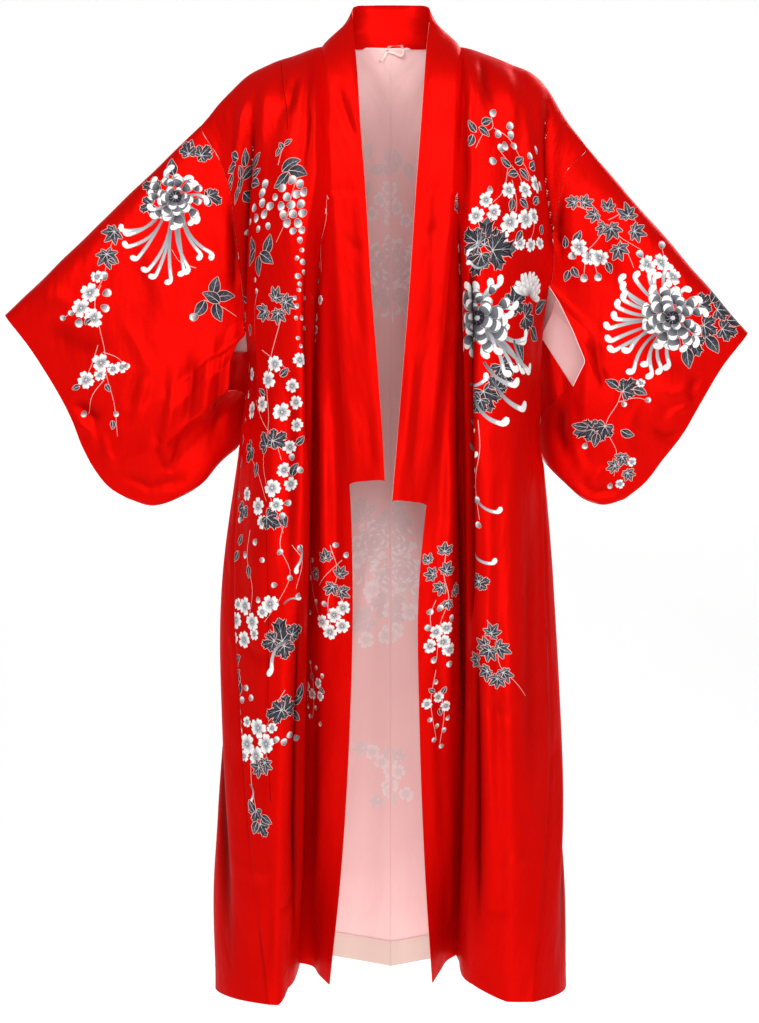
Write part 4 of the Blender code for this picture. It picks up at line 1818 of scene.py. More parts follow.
def stems(*lines: tuple, motif: Motif = Motif.STEM) -> tuple:
    """Stems, or lines of painted shade along seams and tucks, through places on the chart.

    Args:
        lines: the places along each.
        motif: STEM, or the motif for a line of painted seam shade.

    Returns:
        One item for each line.
    """
    made = []
    for first, *rest in lines:
        more = tuple((x - first[0], y - first[1]) for x, y in rest)
        made.append(Printed(motif, *first, 30, 0, more))
    return tuple(made)


def faded(shapes: list) -> list:
    """Shapes as they show faintly through the lining.

    Args:
        shapes: the shapes in their full colours.

    Returns:
        The same shapes in pale pinks.
    """
    made = []
    for shape in shapes:
        ends = (shape.start, shape.end)
        start, end = (GHOST_DARK + (GHOST_LIGHT - GHOST_DARK) * np.mean(colour) for colour in ends)
        made.append(shape._replace(start=tuple(start), end=tuple(end)))
    return made


SLEEVE_PRINT = {
    "right": (
        *stems(
            ((196, 268), (180, 262), (172, 250)),
            ((101, 285), (95, 300), (99, 330), (103, 350), (104, 372), (112, 405), (115, 438)),
            ((113, 240), (108, 255), (103, 278), (95, 292)),
            ((98, 345), (88, 372), (80, 384)),
            ((103, 352), (118, 358), (126, 366)),
            ((104, 380), (92, 395), (86, 415)),
            ((92, 292), (74, 310), (62, 318)),
            ((205, 300), (224, 308), (236, 316)),
        ),
        *spray(Motif.LEAF, 19, (190, 148, 80), (206, 156, 35), (173, 167, 100), (153, 187, 150),
            (213, 195, 330)),
        *spray(Motif.VINE, 21, (204, 152, 50), (188, 150, 100), (152, 186, 165), (212, 198, 330),
            (148, 206, 200)),
        *spray(Motif.MAPLE, 25, (113, 233, 230), (107, 256, 280)),
        Printed(Motif.KIKU, 175, 197, 66, 20, (256, 62, 1.55, 1)),
        *spray(Motif.LEAF, 20, (215, 286, 75), (225, 297, 5), (199, 308, 235), (219, 312, 285),
            (211, 298, 150)),
        *spray(Motif.BUD, 9, (194, 317, 200), (107, 293, 20), (105, 308, 330), (79, 323, 250),
            (104, 276, 100)),
        *spray(Motif.BLOSSOM, 20, (90, 293), (81, 308), (94, 318), (101, 363), (86, 380)),
        *spray(Motif.BLOSSOM, 13, (97, 277), (113, 369), (100, 375), (122, 367)),
        *spray(Motif.BUD, 6, (71, 313, 180), (63, 318, 200), (127, 366, 0), (84, 414, 260),
            (116, 414, 300)),
        *spray(Motif.LEAF, 9, (112, 262, 330), (88, 322, 220), (76, 388, 200), (108, 388, 300),
            (112, 425, 270)),
    ),
    "left": (
        *stems(
            ((575, 205), (590, 212), (606, 226), (620, 238), (640, 250)),
            ((608, 220), (630, 212), (640, 228)),
            ((606, 228), (590, 248), (576, 256)),
            ((620, 240), (630, 258), (634, 268)),
            ((585, 262), (584, 276)),
            ((594, 262), (598, 276)),
            ((625, 380), (618, 402), (606, 425), (618, 455), (616, 478)),
            ((618, 402), (640, 398), (648, 400)),
            ((614, 430), (600, 428), (586, 430)),
            ((664, 258), (662, 245)),
        ),
        *spray(Motif.MAPLE, 17, (573, 202, 160), (585, 202, 20), (594, 215, 200), (608, 207, 70),
            (603, 228, 240)),
        *spray(Motif.MAPLE, 23, (612, 230, 300), (636, 232, 340), (619, 250, 290), (628, 214, 100)),
        *spray(Motif.LEAF, 12, (565, 242, 90), (577, 236, 60), (567, 276, 250), (576, 272, 300),
            (609, 268, 290)),
        *spray(Motif.BLOSSOM, 18, (590, 257), (579, 247), (600, 258), (647, 264), (661, 262),
            (673, 277)),
        *spray(Motif.BUD, 8, (584, 278, 270), (598, 277, 270), (662, 245, 80), (640, 254, 120),
            (572, 256, 150)),
        *spray(Motif.VINE, 26, (704, 302, 30), (722, 310, 0), (708, 328, 330), (727, 330, 350),
            (694, 344, 300)),
        *spray(Motif.LEAF, 22, (735, 316, 10), (716, 292, 50), (688, 358, 280), (712, 345, 310)),
        Printed(Motif.KIKU, 672, 318, 74, 10, (186, 100, 0.75, 1)),
        *spray(Motif.VINE, 26, (627, 388, 40), (588, 430, 190), (603, 431, 250)),
        *spray(Motif.LEAF, 15, (612, 384, 150), (640, 392, 340), (628, 433, 340), (580, 426, 170),
            (596, 440, 260)),
        *spray(Motif.MAPLE, 17, (622, 458, 260), (614, 466, 200), (628, 474, 300)),
        *spray(Motif.BLOSSOM, 10, (620, 484), (632, 462), (641, 383)),
        *spray(Motif.BUD, 6, (648, 400, 0), (624, 404, 320), (585, 446, 260), (610, 486, 250)),
    ),
}

BODY_PRINT = {
    "right": (
        *stems(
            ((278, 165), (283, 150), (292, 142)),
            ((300, 170), (292, 190), (284, 215), (270, 235)),
            ((286, 300), (276, 320), (265, 345), (255, 380), (258, 420), (250, 460), (262, 500),
                (272, 530)),
            ((262, 350), (280, 360), (296, 372)),
            ((256, 400), (272, 420), (290, 440), (296, 460)),
            ((250, 455), (268, 470), (284, 500)),
            ((250, 530), (246, 555), (256, 590), (250, 620)),
            ((285, 520), (280, 545), (290, 575), (278, 600), (262, 620)),
            ((292, 545), (302, 560), (296, 590)),
            ((234, 600), (232, 650), (240, 690), (252, 740)),
            ((285, 690), (270, 712), (262, 740), (266, 765)),
            ((252, 740), (250, 780), (256, 812)),
            ((258, 290), (244, 312), (240, 335)),
        ),
        # Painted shade: dark lines along two tucks and the side seam, where their grooves are shaded.
        *stems(
            ((281, 62), (280, 100), (279, 148)),
            ((266, 528), (267, 610), (265, 735), (265, 800)),
            ((232, 552), (235, 700), (239.7, 740), (245, 788), (250, 838), (257, 893), (263, 946),
                (268, 994)),
            motif=Motif.SEAM,
        ),
        *spray(Motif.LEAF, 17, (234, 156, 120), (246, 157, 75), (256, 161, 40), (232, 169, 160),
            (248, 171, 20)),
        *spray(Motif.LEAF, 16, (230, 181, 190), (241, 184, 250), (252, 183, 330), (236, 196, 240),
            (248, 197, 290)),
        *spray(Motif.LEAF, 14, (227, 194, 200), (240, 172, 90), (256, 172, 0)),
        *spray(Motif.LEAF, 9, (281, 146, 120), (288, 142, 20), (278, 152, 240)),
        *spray(Motif.LEAF, 21, (291, 166, 20), (281, 180, 215), (298, 172, 340)),
        *spray(Motif.BUD, 9, (265, 184, 80), (262, 193), (262, 203), (254, 208), (270, 206), (264, 214),
            (256, 218)),
        *spray(Motif.BUD, 9, (282, 188), (292, 180), (300, 184), (287, 197), (297, 194), (304, 192),
            (281, 206)),
        *spray(Motif.BUD, 9, (291, 205), (301, 204), (283, 215), (293, 214), (303, 213), (287, 223),
            (298, 223)),
        *spray(Motif.BUD, 7, (250, 222), (258, 229), (268, 226), (249, 232), (293, 231), (302, 230),
            (275, 197)),
        *spray(Motif.LEAF, 21, (253, 244, 110), (267, 244, 60), (252, 258, 215), (266, 258, 320),
            (259, 266, 265)),
        *spray(Motif.MAPLE, 21, (276, 296, 60), (287, 303, 330), (264, 312, 200), (278, 315, 260)),
        *spray(Motif.BUD, 6, (255, 280), (256, 291), (300, 240), (303, 262), (298, 276)),
        *spray(Motif.BUD, 4.5, (302, 250), (297, 258), (304, 272), (300, 284), (303, 298), (297, 306),
            (302, 318)),
        *spray(Motif.BUD, 4, (299, 290), (304, 310), (296, 318), (303, 328), (298, 338), (295, 298),
            (301, 346)),
        *spray(Motif.LEAF, 14, (243, 318, 70), (250, 330, 250), (240, 300, 110)),
        *spray(Motif.BLOSSOM, 19, (275, 364), (268, 380), (252, 410), (262, 404), (272, 488), (258, 506),
            (282, 412)),
        *spray(Motif.BLOSSOM, 15, (292, 386), (296, 402), (247, 494), (284, 470), (262, 522), (291, 484),
            (246, 396)),
        *spray(Motif.BLOSSOM, 15, (297, 425), (290, 447), (276, 505), (252, 374), (300, 360)),
        *spray(Motif.VINE, 24, (265, 442, 120), (250, 452, 230), (277, 438, 30), (243, 512, 250),
            (270, 520, 320)),
        *spray(Motif.LEAF, 15, (240, 440, 100), (256, 470, 260), (236, 462, 120), (295, 470, 60),
            (285, 520, 280)),
        *spray(Motif.LEAF, 12, (284, 372, 40), (262, 392, 150), (240, 422, 200), (300, 440, 40),
            (236, 495, 160)),
        *spray(Motif.BUD, 7, (288, 503), (282, 516), (292, 457), (300, 470), (240, 520), (255, 542),
            (245, 555)),
        *spray(Motif.LEAF, 13, (241, 540, 60), (236, 556, 240), (248, 572, 280)),
        *spray(Motif.BUD, 6, (262, 560), (280, 552), (300, 548), (290, 578), (274, 585), (298, 596),
            (258, 600)),
        Printed(Motif.CURL, 300, 545, 22, 262, (0.15, 60.0)),
        *spray(Motif.BLOSSOM, 19, (245, 606), (236, 620), (252, 622), (244, 640), (270, 604)),
        *spray(Motif.BLOSSOM, 13, (232, 636), (262, 612), (254, 634), (238, 604)),
        *spray(Motif.VINE, 36, (281, 634, 100),),
        *spray(Motif.VINE, 22, (270, 642, 190), (296, 632, 20), (285, 650, 280)),
        Printed(Motif.CURL, 288, 640, 30, 235, (-0.2, -60.0)),
        Printed(Motif.CURL, 284, 604, 15, 10, (0.2, 60.0)),
        *spray(Motif.LEAF, 20, (228, 664, 100), (233, 676, 60), (226, 684, 250), (236, 660, 40)),
        *spray(Motif.BUD, 7, (246, 688), (251, 698), (242, 700), (236, 710), (240, 722)),
        *spray(Motif.VINE, 27, (285, 706, 80), (276, 712, 190)),
        *spray(Motif.LEAF, 15, (296, 700, 30), (294, 716, 320), (300, 690, 70)),
        *spray(Motif.BLOSSOM, 21, (258, 728), (247, 744), (266, 744), (256, 756)),
        *spray(Motif.BLOSSOM, 12, (247, 722), (272, 728), (244, 756)),
        *spray(Motif.BUD, 7, (240, 730), (276, 740), (284, 742), (290, 735), (296, 738)),
        *spray(Motif.MAPLE, 20, (265, 764, 280), (258, 768, 220)),
        Printed(Motif.CURL, 250, 784, 16, 275, (0.2, 50.0)),
        *spray(Motif.VINE, 20, (255, 814, 250), (262, 828, 300)),
        *spray(Motif.LEAF, 14, (252, 806, 120), (266, 820, 330), (256, 828, 250)),
    ),
    "left": (
        *stems(
            ((490, 112), (494, 126), (484, 134), (474, 150)),
            ((494, 128), (510, 134), (524, 150), (536, 168)),
            ((512, 180), (520, 205), (514, 232)),
            ((498, 148), (510, 160), (520, 168), (530, 190), (534, 220)),
            ((487, 620), (498, 640), (503, 665), (520, 680), (534, 694)),
            ((478, 420), (480, 450), (476, 480), (482, 520)),
            ((508, 168), (500, 195), (490, 205)),
            ((534, 210), (540, 232), (536, 248)),
        ),
        # Painted shade: dark lines along a crease by the collar and the side seam, where their grooves are
        # shaded.
        *stems(
            ((463, 58), (464, 100), (464, 140)),
            ((548, 600), (549, 700), (554, 726), (557, 750), (553, 809), (545, 868), (538, 940),
                (534, 1000)),
            motif=Motif.SEAM,
        ),
        *spray(Motif.LEAF, 13, (472, 126, 130), (484, 132, 330), (506, 162, 150), (519, 160, 40),
            (513, 174, 200)),
        *spray(Motif.LEAF, 13, (524, 175, 320), (532, 164, 60), (487, 122, 30), (470, 140, 240)),
        *spray(Motif.BUD, 8, (498, 134, 60), (510, 126), (511, 135), (501, 148), (493, 161), (493, 113),
            (505, 146)),
        *spray(Motif.BUD, 7, (514, 146), (530, 156), (536, 150), (540, 186), (538, 200), (486, 196),
            (490, 190)),
        *spray(Motif.BLOSSOM, 17, (509, 190), (525, 190), (536, 184), (494, 212), (476, 216),
            (534, 216)),
        *spray(Motif.BLOSSOM, 22, (510, 222), (526, 219)),
        *spray(Motif.BLOSSOM, 16, (486, 200), (531, 245), (520, 243), (540, 243), (502, 238)),
        *spray(Motif.LEAF, 13, (511, 205, 270), (524, 204, 330), (519, 236, 250), (536, 200, 60),
            (542, 230, 90)),
        *spray(Motif.VINE, 40, (486, 236, 95), (500, 250, 5)),
        *spray(Motif.VINE, 30, (478, 260, 250), (472, 240, 160)),
        Printed(Motif.CURL, 480, 232, 18, 250, (0.3, 80.0)),
        Printed(Motif.CURL, 490, 260, 20, 190, (0.3, 70.0)),
        *spray(Motif.VINE, 34, (528, 318, 350), (518, 300, 30), (504, 372, 300)),
        *spray(Motif.LEAF, 24, (540, 306, 30), (534, 334, 330), (520, 350, 300)),
        Printed(Motif.FAN, 529, 296, 27, 82),
        Printed(Motif.KIKU, 476, 318, 84, 0, (322, 34, 0.9, -1)),
        *spray(Motif.VINE, 34, (486, 398, 290)),
        *spray(Motif.VINE, 24, (478, 404, 240), (498, 384, 60)),
        Printed(Motif.CURL, 514, 340, 38, 308, (-0.1, 80.0)),
        Printed(Motif.CURL, 484, 362, 38, 325, (-0.12, 90.0)),
        Printed(Motif.CURL, 494, 382, 42, 322, (-0.12, 90.0)),
        Printed(Motif.CURL, 474, 398, 36, 318, (-0.15, 90.0)),
        Printed(Motif.CURL, 470, 384, 26, 10, (-0.15, 80.0)),
        Printed(Motif.CURL, 472, 420, 16, 315, (-0.2, 110.0)),
        Printed(Motif.CURL, 470, 444, 20, 325, (-0.2, 110.0)),
        Printed(Motif.CURL, 476, 497, 25, 328, (-0.15, 90.0)),
        Printed(Motif.CURL, 474, 550, 24, 334, (-0.15, 90.0)),
        *spray(Motif.BUD, 7, (474, 470), (480, 486), (476, 500), (478, 525)),
        *spray(Motif.VINE, 17, (482, 583, 30), (476, 580, 170)),
        *spray(Motif.MAPLE, 21, (492, 632, 60), (484, 646, 200), (500, 648, 340), (489, 652, 260)),
        *spray(Motif.MAPLE, 19, (504, 674, 300), (486, 672, 220), (497, 680, 270), (477, 660, 180)),
    ),
}

OVERLAP_PRINT = {
    "right": (
        *stems(
            ((320, 188), (324, 205), (320, 230), (326, 260)),
            ((316, 235), (312, 262), (316, 290)),
            ((310, 555), (318, 590), (330, 612)),
            ((330, 545), (338, 575), (330, 600), (336, 640)),
            ((310, 660), (318, 690), (316, 720)),
            ((342, 560), (330, 572), (318, 588)),
        ),
        *spray(Motif.MAPLE, 17, (325, 557, 100), (340, 573, 60), (332, 588, 240), (342, 592, 330),
            (316, 574, 180)),
        *spray(Motif.BLOSSOM, 16, (322, 622), (334, 615), (342, 626), (330, 632), (343, 608)),
        *spray(Motif.BUD, 6, (312, 560), (310, 578), (316, 602), (324, 604), (336, 545), (346, 555),
            (310, 612)),
        *spray(Motif.BLOSSOM, 12, (307, 686), (318, 683), (312, 694), (320, 696)),
        *spray(Motif.BUD, 5, (310, 662), (316, 668), (322, 676), (316, 708), (310, 716), (320, 724),
            (308, 706)),
        *spray(Motif.LEAF, 8, (312, 676, 100), (322, 690, 330), (306, 698, 220)),
        *spray(Motif.LEAF, 10, (323, 145, 60), (321, 172, 300), (318, 168, 180)),
        *spray(Motif.BLOSSOM, 10, (320, 300), (312, 318), (316, 330)),
        *spray(Motif.BUD, 6, (322, 192), (321, 210), (315, 240), (318, 265), (312, 282), (310, 300),
            (310, 340)),
    ),
    "left": (
        *stems(
            ((446, 552), (444, 575), (448, 600), (440, 625), (436, 660)),
            ((436, 600), (430, 615), (432, 635)),
            ((436, 670), (430, 700), (436, 742)),
            ((440, 690), (444, 715), (440, 745)),
        ),
        *spray(Motif.VINE, 17, (460, 150, 100), (462, 184, 80), (464, 204, 280), (458, 190, 180)),
        *spray(Motif.MAPLE, 17, (445, 550, 90), (447, 570, 60), (440, 588, 200), (455, 590, 330),
            (432, 574, 170)),
        *spray(Motif.MAPLE, 14, (448, 604, 280), (428, 560, 120)),
        *spray(Motif.BLOSSOM, 15, (436, 632), (447, 628), (430, 646), (443, 642), (450, 650)),
        *spray(Motif.BUD, 7, (430, 612), (440, 608), (452, 618), (428, 628), (450, 664), (434, 660)),
        *spray(Motif.BLOSSOM, 12, (438, 697), (427, 704), (446, 706)),
        *spray(Motif.BUD, 5, (430, 720), (437, 726), (444, 730), (434, 740), (441, 746), (448, 718),
            (436, 682)),
        *spray(Motif.LEAF, 8, (444, 690, 60), (432, 690, 150), (440, 712, 280)),
        *spray(Motif.BLOSSOM, 12, (470, 250), (466, 270)),
    ),
}


LINING_PRINT = (
    *stems(
        ((362, 150), (372, 175), (384, 200), (380, 240)),
        ((404, 160), (398, 190), (404, 230)),
        ((358, 510), (372, 540), (384, 580), (380, 640)),
        ((410, 500), (404, 540), (396, 590), (404, 640)),
        ((350, 740), (368, 760), (384, 778), (402, 800)),
    ),
    *spray(Motif.LEAF, 20, (368, 152, 60), (376, 168, 200), (398, 158, 120), (408, 172, 300),
        (366, 190, 250)),
    *spray(Motif.BLOSSOM, 16, (380, 200), (396, 208), (372, 214), (406, 220), (388, 188)),
    Printed(Motif.KIKU, 390, 265, 58, 0, (270, 70, 0.9, 1)),
    *spray(Motif.VINE, 30, (366, 262, 200), (374, 296, 250), (410, 300, 300)),
    Printed(Motif.KIKU, 374, 542, 54, 20, (250, 70, 0.9, 1)),
    Printed(Motif.KIKU, 404, 572, 46, 0, (290, 70, 0.8, -1)),
    *spray(Motif.VINE, 34, (362, 512, 110), (398, 520, 60), (384, 606, 250), (364, 622, 220)),
    *spray(Motif.BLOSSOM, 20, (358, 560), (372, 590), (396, 630), (410, 612), (366, 640), (386, 636)),
    *spray(Motif.BLOSSOM, 18, (382, 762), (398, 772), (388, 786), (406, 794), (372, 752)),
    *spray(Motif.MAPLE, 20, (362, 748, 200), (398, 756, 60), (378, 800, 250)),
)


# --- The folds --------------------------------------------------------------------------------------------

FRONT_CREASES = {
    "right": (
        Crease(((247, 92), (240, 130), (233, 185)), 9, 4.5),
        Crease(((254, 96), (247, 165), (242, 240), (241, 330)), 18, -16, Fold.SHARP),
        Crease(((281, 62), (280, 100), (279, 148)), 6, -2.6, Fold.SHARP),
        Crease(((296, 72), (291, 95), (286, 120)), 8, -4),
        Crease(((270, 74), (264, 115), (258, 160)), 10, 3),
        Crease(((316, 50), (312, 100), (308, 170), (306, 240)), 8, -5),
        Crease(((307, 230), (308, 330), (310, 430), (312, 560)), 14, -14, Fold.SHARP),
        Crease(((262, 240), (258, 330), (256, 430)), 11, 3.5),
        Crease(((276, 350), (272, 450), (272, 610)), 11, 3.5),
        Crease(((290, 330), (291, 430), (288, 560), (290, 640)), 9, -4),
        Crease(((266, 520), (267, 610), (265, 735), (265, 800)), 6, -2.2, Fold.SHARP),
        Crease(((302, 540), (300, 680), (296, 820), (293, 985)), 20, -13, Fold.SHARP),
        Crease(((284, 600), (282, 720), (280, 860), (277, 985)), 13, 4),
        Crease(((233, 660), (238, 780), (246, 900), (252, 990)), 12, 3.5),
        Crease(((232, 552), (235, 700), (242, 763), (250, 838), (257, 893), (267, 990)), 6, -1.8,
            Fold.SHARP, 0.1),
        Crease(((268, 820), (272, 900), (270, 985)), 8, -2.5),
        Crease(((240, 640), (256, 656), (280, 664)), 9, -1.6),
        Crease(((296, 700), (280, 720), (262, 726)), 9, 1.6),
        Crease(((244, 860), (256, 872), (276, 874)), 8, 1.4),
        Crease(((300, 890), (288, 906), (272, 910)), 8, -1.6),
        Crease(((229, 392), (240, 372), (247, 352)), 6, -2.5),
    ),
    "left": (
        Crease(((543, 82), (548, 140), (551, 200), (553, 270)), 16, -9, Fold.SHARP),
        Crease(((524, 84), (529, 150), (531, 230)), 13, 4),
        Crease(((481, 56), (486, 80), (493, 106)), 7, -4.5),
        Crease(((471, 58), (476, 90), (482, 120)), 8, 3),
        Crease(((463, 60), (464, 100), (464, 150), (462, 230)), 7, -4),
        Crease(((500, 62), (510, 100), (514, 150)), 14, 5),
        Crease(((474, 236), (469, 330), (467, 430), (468, 520), (469, 640)), 15, -26, Fold.SHARP, 0.2),
        Crease(((474, 590), (475, 720), (475, 850), (476, 960)), 20, -13, Fold.SHARP),
        Crease(((488, 400), (488, 560), (486, 700), (487, 940)), 10, 4.5),
        Crease(((497, 540), (498, 680), (500, 820)), 9, -3),
        Crease(((509, 440), (508, 620), (510, 800), (508, 970)), 13, 3.5),
        Crease(((527, 470), (529, 640), (531, 820)), 12, -2.6),
        Crease(((541, 420), (543, 560), (545, 700)), 10, 2.6),
        Crease(
            ((549, 560), (550, 700), (556, 750), (554, 809), (546, 868), (537, 956), (534, 1000)),
            6,
            -1.8,
            Fold.SHARP,
            0.1,
        ),
        Crease(((545, 408), (552, 430), (554, 470)), 10, -4),
        Crease(((482, 700), (498, 712), (520, 716)), 10, -1.5),
        Crease(((530, 850), (512, 866), (492, 870)), 9, 1.6),
        Crease(((478, 905), (496, 914), (520, 912)), 8, -1.5),
    ),
}
BACK_CREASES = {
    "right": (
        Crease(((62, 10), (70, 300), (84, 640)), 17, -10.2),
        Crease(((118, 0), (122, 260), (140, 520)), 20, 8.5),
        Crease(((176, 20), (180, 380), (172, 760)), 16, -8.5),
        Crease(((232, 0), (236, 300), (228, 620)), 19, 8.5),
        Crease(((286, 40), (282, 460), (288, 900)), 15, -5.95),
        Crease(((40, 980), (110, 1110), (190, 1230)), 18, -10.2),
        Crease(((90, 900), (160, 1050), (232, 1190)), 18, 8.5),
        Crease(((60, 760), (130, 800), (240, 790)), 22, -5.1),
    ),
    "left": (
        Crease(((54, 0), (66, 360), (76, 560)), 15, -8.5),
        Crease(((104, 30), (112, 320), (124, 700)), 19, 9.35),
        Crease(((160, 0), (168, 300), (180, 620)), 18, -10.2),
        Crease(((222, 10), (220, 420), (236, 820)), 16, 6.8),
        Crease(((270, 0), (276, 280), (270, 560)), 18, -6.8),
        Crease(((36, 1010), (96, 1120), (170, 1250)), 16, -8.5),
        Crease(((80, 880), (170, 1030), (250, 1210)), 20, 8.5),
        Crease(((50, 700), (150, 760), (260, 740)), 22, -4.25),
    ),
}
OVERLAP_CREASES = {
    "right": (
        Crease(((318, 330), (323, 430), (325, 560), (324, 700)), 8, 4),
        Crease(((334, 430), (337, 520), (336, 640)), 6, -3),
        Crease(((316, 640), (313, 780), (309, 900)), 9, -3),
        Crease(((326, 720), (320, 850), (312, 960)), 9, 3),
    ),
    "left": (
        Crease(((451, 330), (448, 430), (448, 600), (446, 760)), 7, 6),
        Crease(((458, 300), (460, 420), (462, 520), (463, 650), (464, 780)), 12, -14, Fold.SHARP),
        Crease(((438, 620), (440, 760), (442, 880)), 7, -2.6),
        Crease(((450, 760), (451, 860), (449, 960)), 8, 3),
    ),
}
SLEEVE_CREASES = {
    "right": (
        Crease(((213, 205), (222, 240), (230, 300)), 10, 4),
        Crease(((229, 190), (235, 250), (235, 305)), 14, -9, Fold.SHARP),
        Crease(((214, 320), (207, 390), (199, 445)), 9, 4.5),
        Crease(((224, 330), (219, 400), (212, 452)), 8, -4),
        Crease(((193, 345), (190, 400), (185, 438)), 8, -4.5),
        Crease(((178, 350), (171, 410), (163, 456)), 8, 4.5),
        Crease(((156, 424), (161, 452), (169, 469), (177, 456), (182, 432)), 5, -3.2, Fold.SOFT, 0.2),
        Crease(((122, 318), (138, 348), (156, 384)), 8, 3),
        Crease(((150, 372), (141, 398), (133, 426)), 7, 3),
        Crease(((140, 366), (132, 392), (126, 414)), 7, -2.5),
        Crease(((70, 402), (84, 408), (100, 424)), 9, -6),
        Crease(((74, 418), (90, 432), (98, 452)), 7, 4),
        Crease(((103, 428), (106, 452), (117, 472)), 6, 3),
        Crease(((112, 470), (150, 486), (196, 476)), 9, -3),
        Crease(((40, 318), (78, 346), (116, 350)), 18, -3.5),
        Crease(((30, 292), (70, 306), (120, 296)), 16, 3),
        Crease(((130, 240), (150, 300), (150, 340)), 16, -2.5),
    ),
    "left": (
        Crease(((580, 170), (573, 220), (572, 290)), 10, 4),
        Crease(((563, 184), (558, 230), (560, 270)), 14, -9, Fold.SHARP),
        Crease(((600, 170), (606, 220), (612, 300)), 14, -3),
        Crease(((594, 320), (600, 365), (610, 405)), 9, -5),
        Crease(((578, 330), (586, 390), (580, 450)), 9, 4),
        Crease(((560, 396), (558, 430), (566, 462)), 9, -6),
        Crease(((570, 400), (574, 440), (584, 478)), 7, 4),
        Crease(((649, 426), (668, 436), (688, 430)), 7, -3),
        Crease(((664, 426), (676, 412), (692, 404)), 6, 3.5),
        Crease(((604, 462), (596, 478), (584, 488)), 6, 3),
        Crease(((634, 400), (626, 440), (632, 474)), 10, 3),
        Crease(((648, 380), (668, 396), (700, 388)), 9, 3),
        Crease(((572, 474), (596, 492), (628, 486)), 9, -3.5),
        Crease(((640, 300), (664, 366), (700, 384)), 14, -3),
        Crease(((700, 370), (690, 392), (700, 408)), 6, -4),
    ),
}

# Folds in the back layer of a sleeve: (distance from the robe's middle, height) in millimetres.
SLEEVE_BACK_CREASES = (
    Crease(((196, -260), (226, -400), (250, -560)), 14, -9),
    Crease(((236, -230), (286, -400), (306, -560)), 16, 7.5),
    Crease(((310, -290), (352, -400), (350, -520)), 14, -7.5),
    Crease(((390, -330), (420, -400), (440, -430)), 14, 6),
    Crease(((220, -600), (270, -626), (330, -600)), 12, 4.5),
    Crease(((300, -200), (360, -270), (420, -300)), 18, -6),
)

# The silk that shows behind each sleeve's slit, between its top and bottom lines on the chart.
SLIT_FLAPS = {
    "right": (((226, 353), (236, 353), (249, 352)), ((226, 396), (238, 396), (249, 396))),
    "left": (((541, 336), (556, 360), (574, 388)), ((541, 424), (556, 426), (578, 428))),
}
COLLAR_CREASES = (
    Crease(((334, 75), (340, 98), (350, 126), (361, 153)), 7, -2.6),
    Crease(((329, 90), (331, 180), (338, 280), (346, 400)), 6, 2),
    Crease(((350, 180), (356, 280), (364, 380)), 7, -1.6),
    Crease(((346, 390), (352, 430), (358, 484)), 6, 2),
    Crease(((368, 400), (370, 440), (374, 486)), 6, -2),
    Crease(((336, 230), (350, 246), (368, 250)), 8, -1),
    Crease(((455, 90), (452, 180), (447, 280)), 6, 2),
    Crease(((438, 150), (434, 260), (426, 360)), 8, -1.8),
    Crease(((441, 330), (436, 400), (428, 480)), 5, 2.4),
    Crease(((424, 340), (418, 420), (410, 500)), 6, -2.4),
    Crease(((414, 330), (408, 410), (402, 490)), 5, 2),
    Crease(((446, 220), (434, 232), (420, 230)), 8, -1),
)


# --- What follows an edge ---------------------------------------------------------------------------------


class Trim(Enum):
    """What is sewn along an edge."""

    PIPING = "piping"
    STITCHES = "stitches"


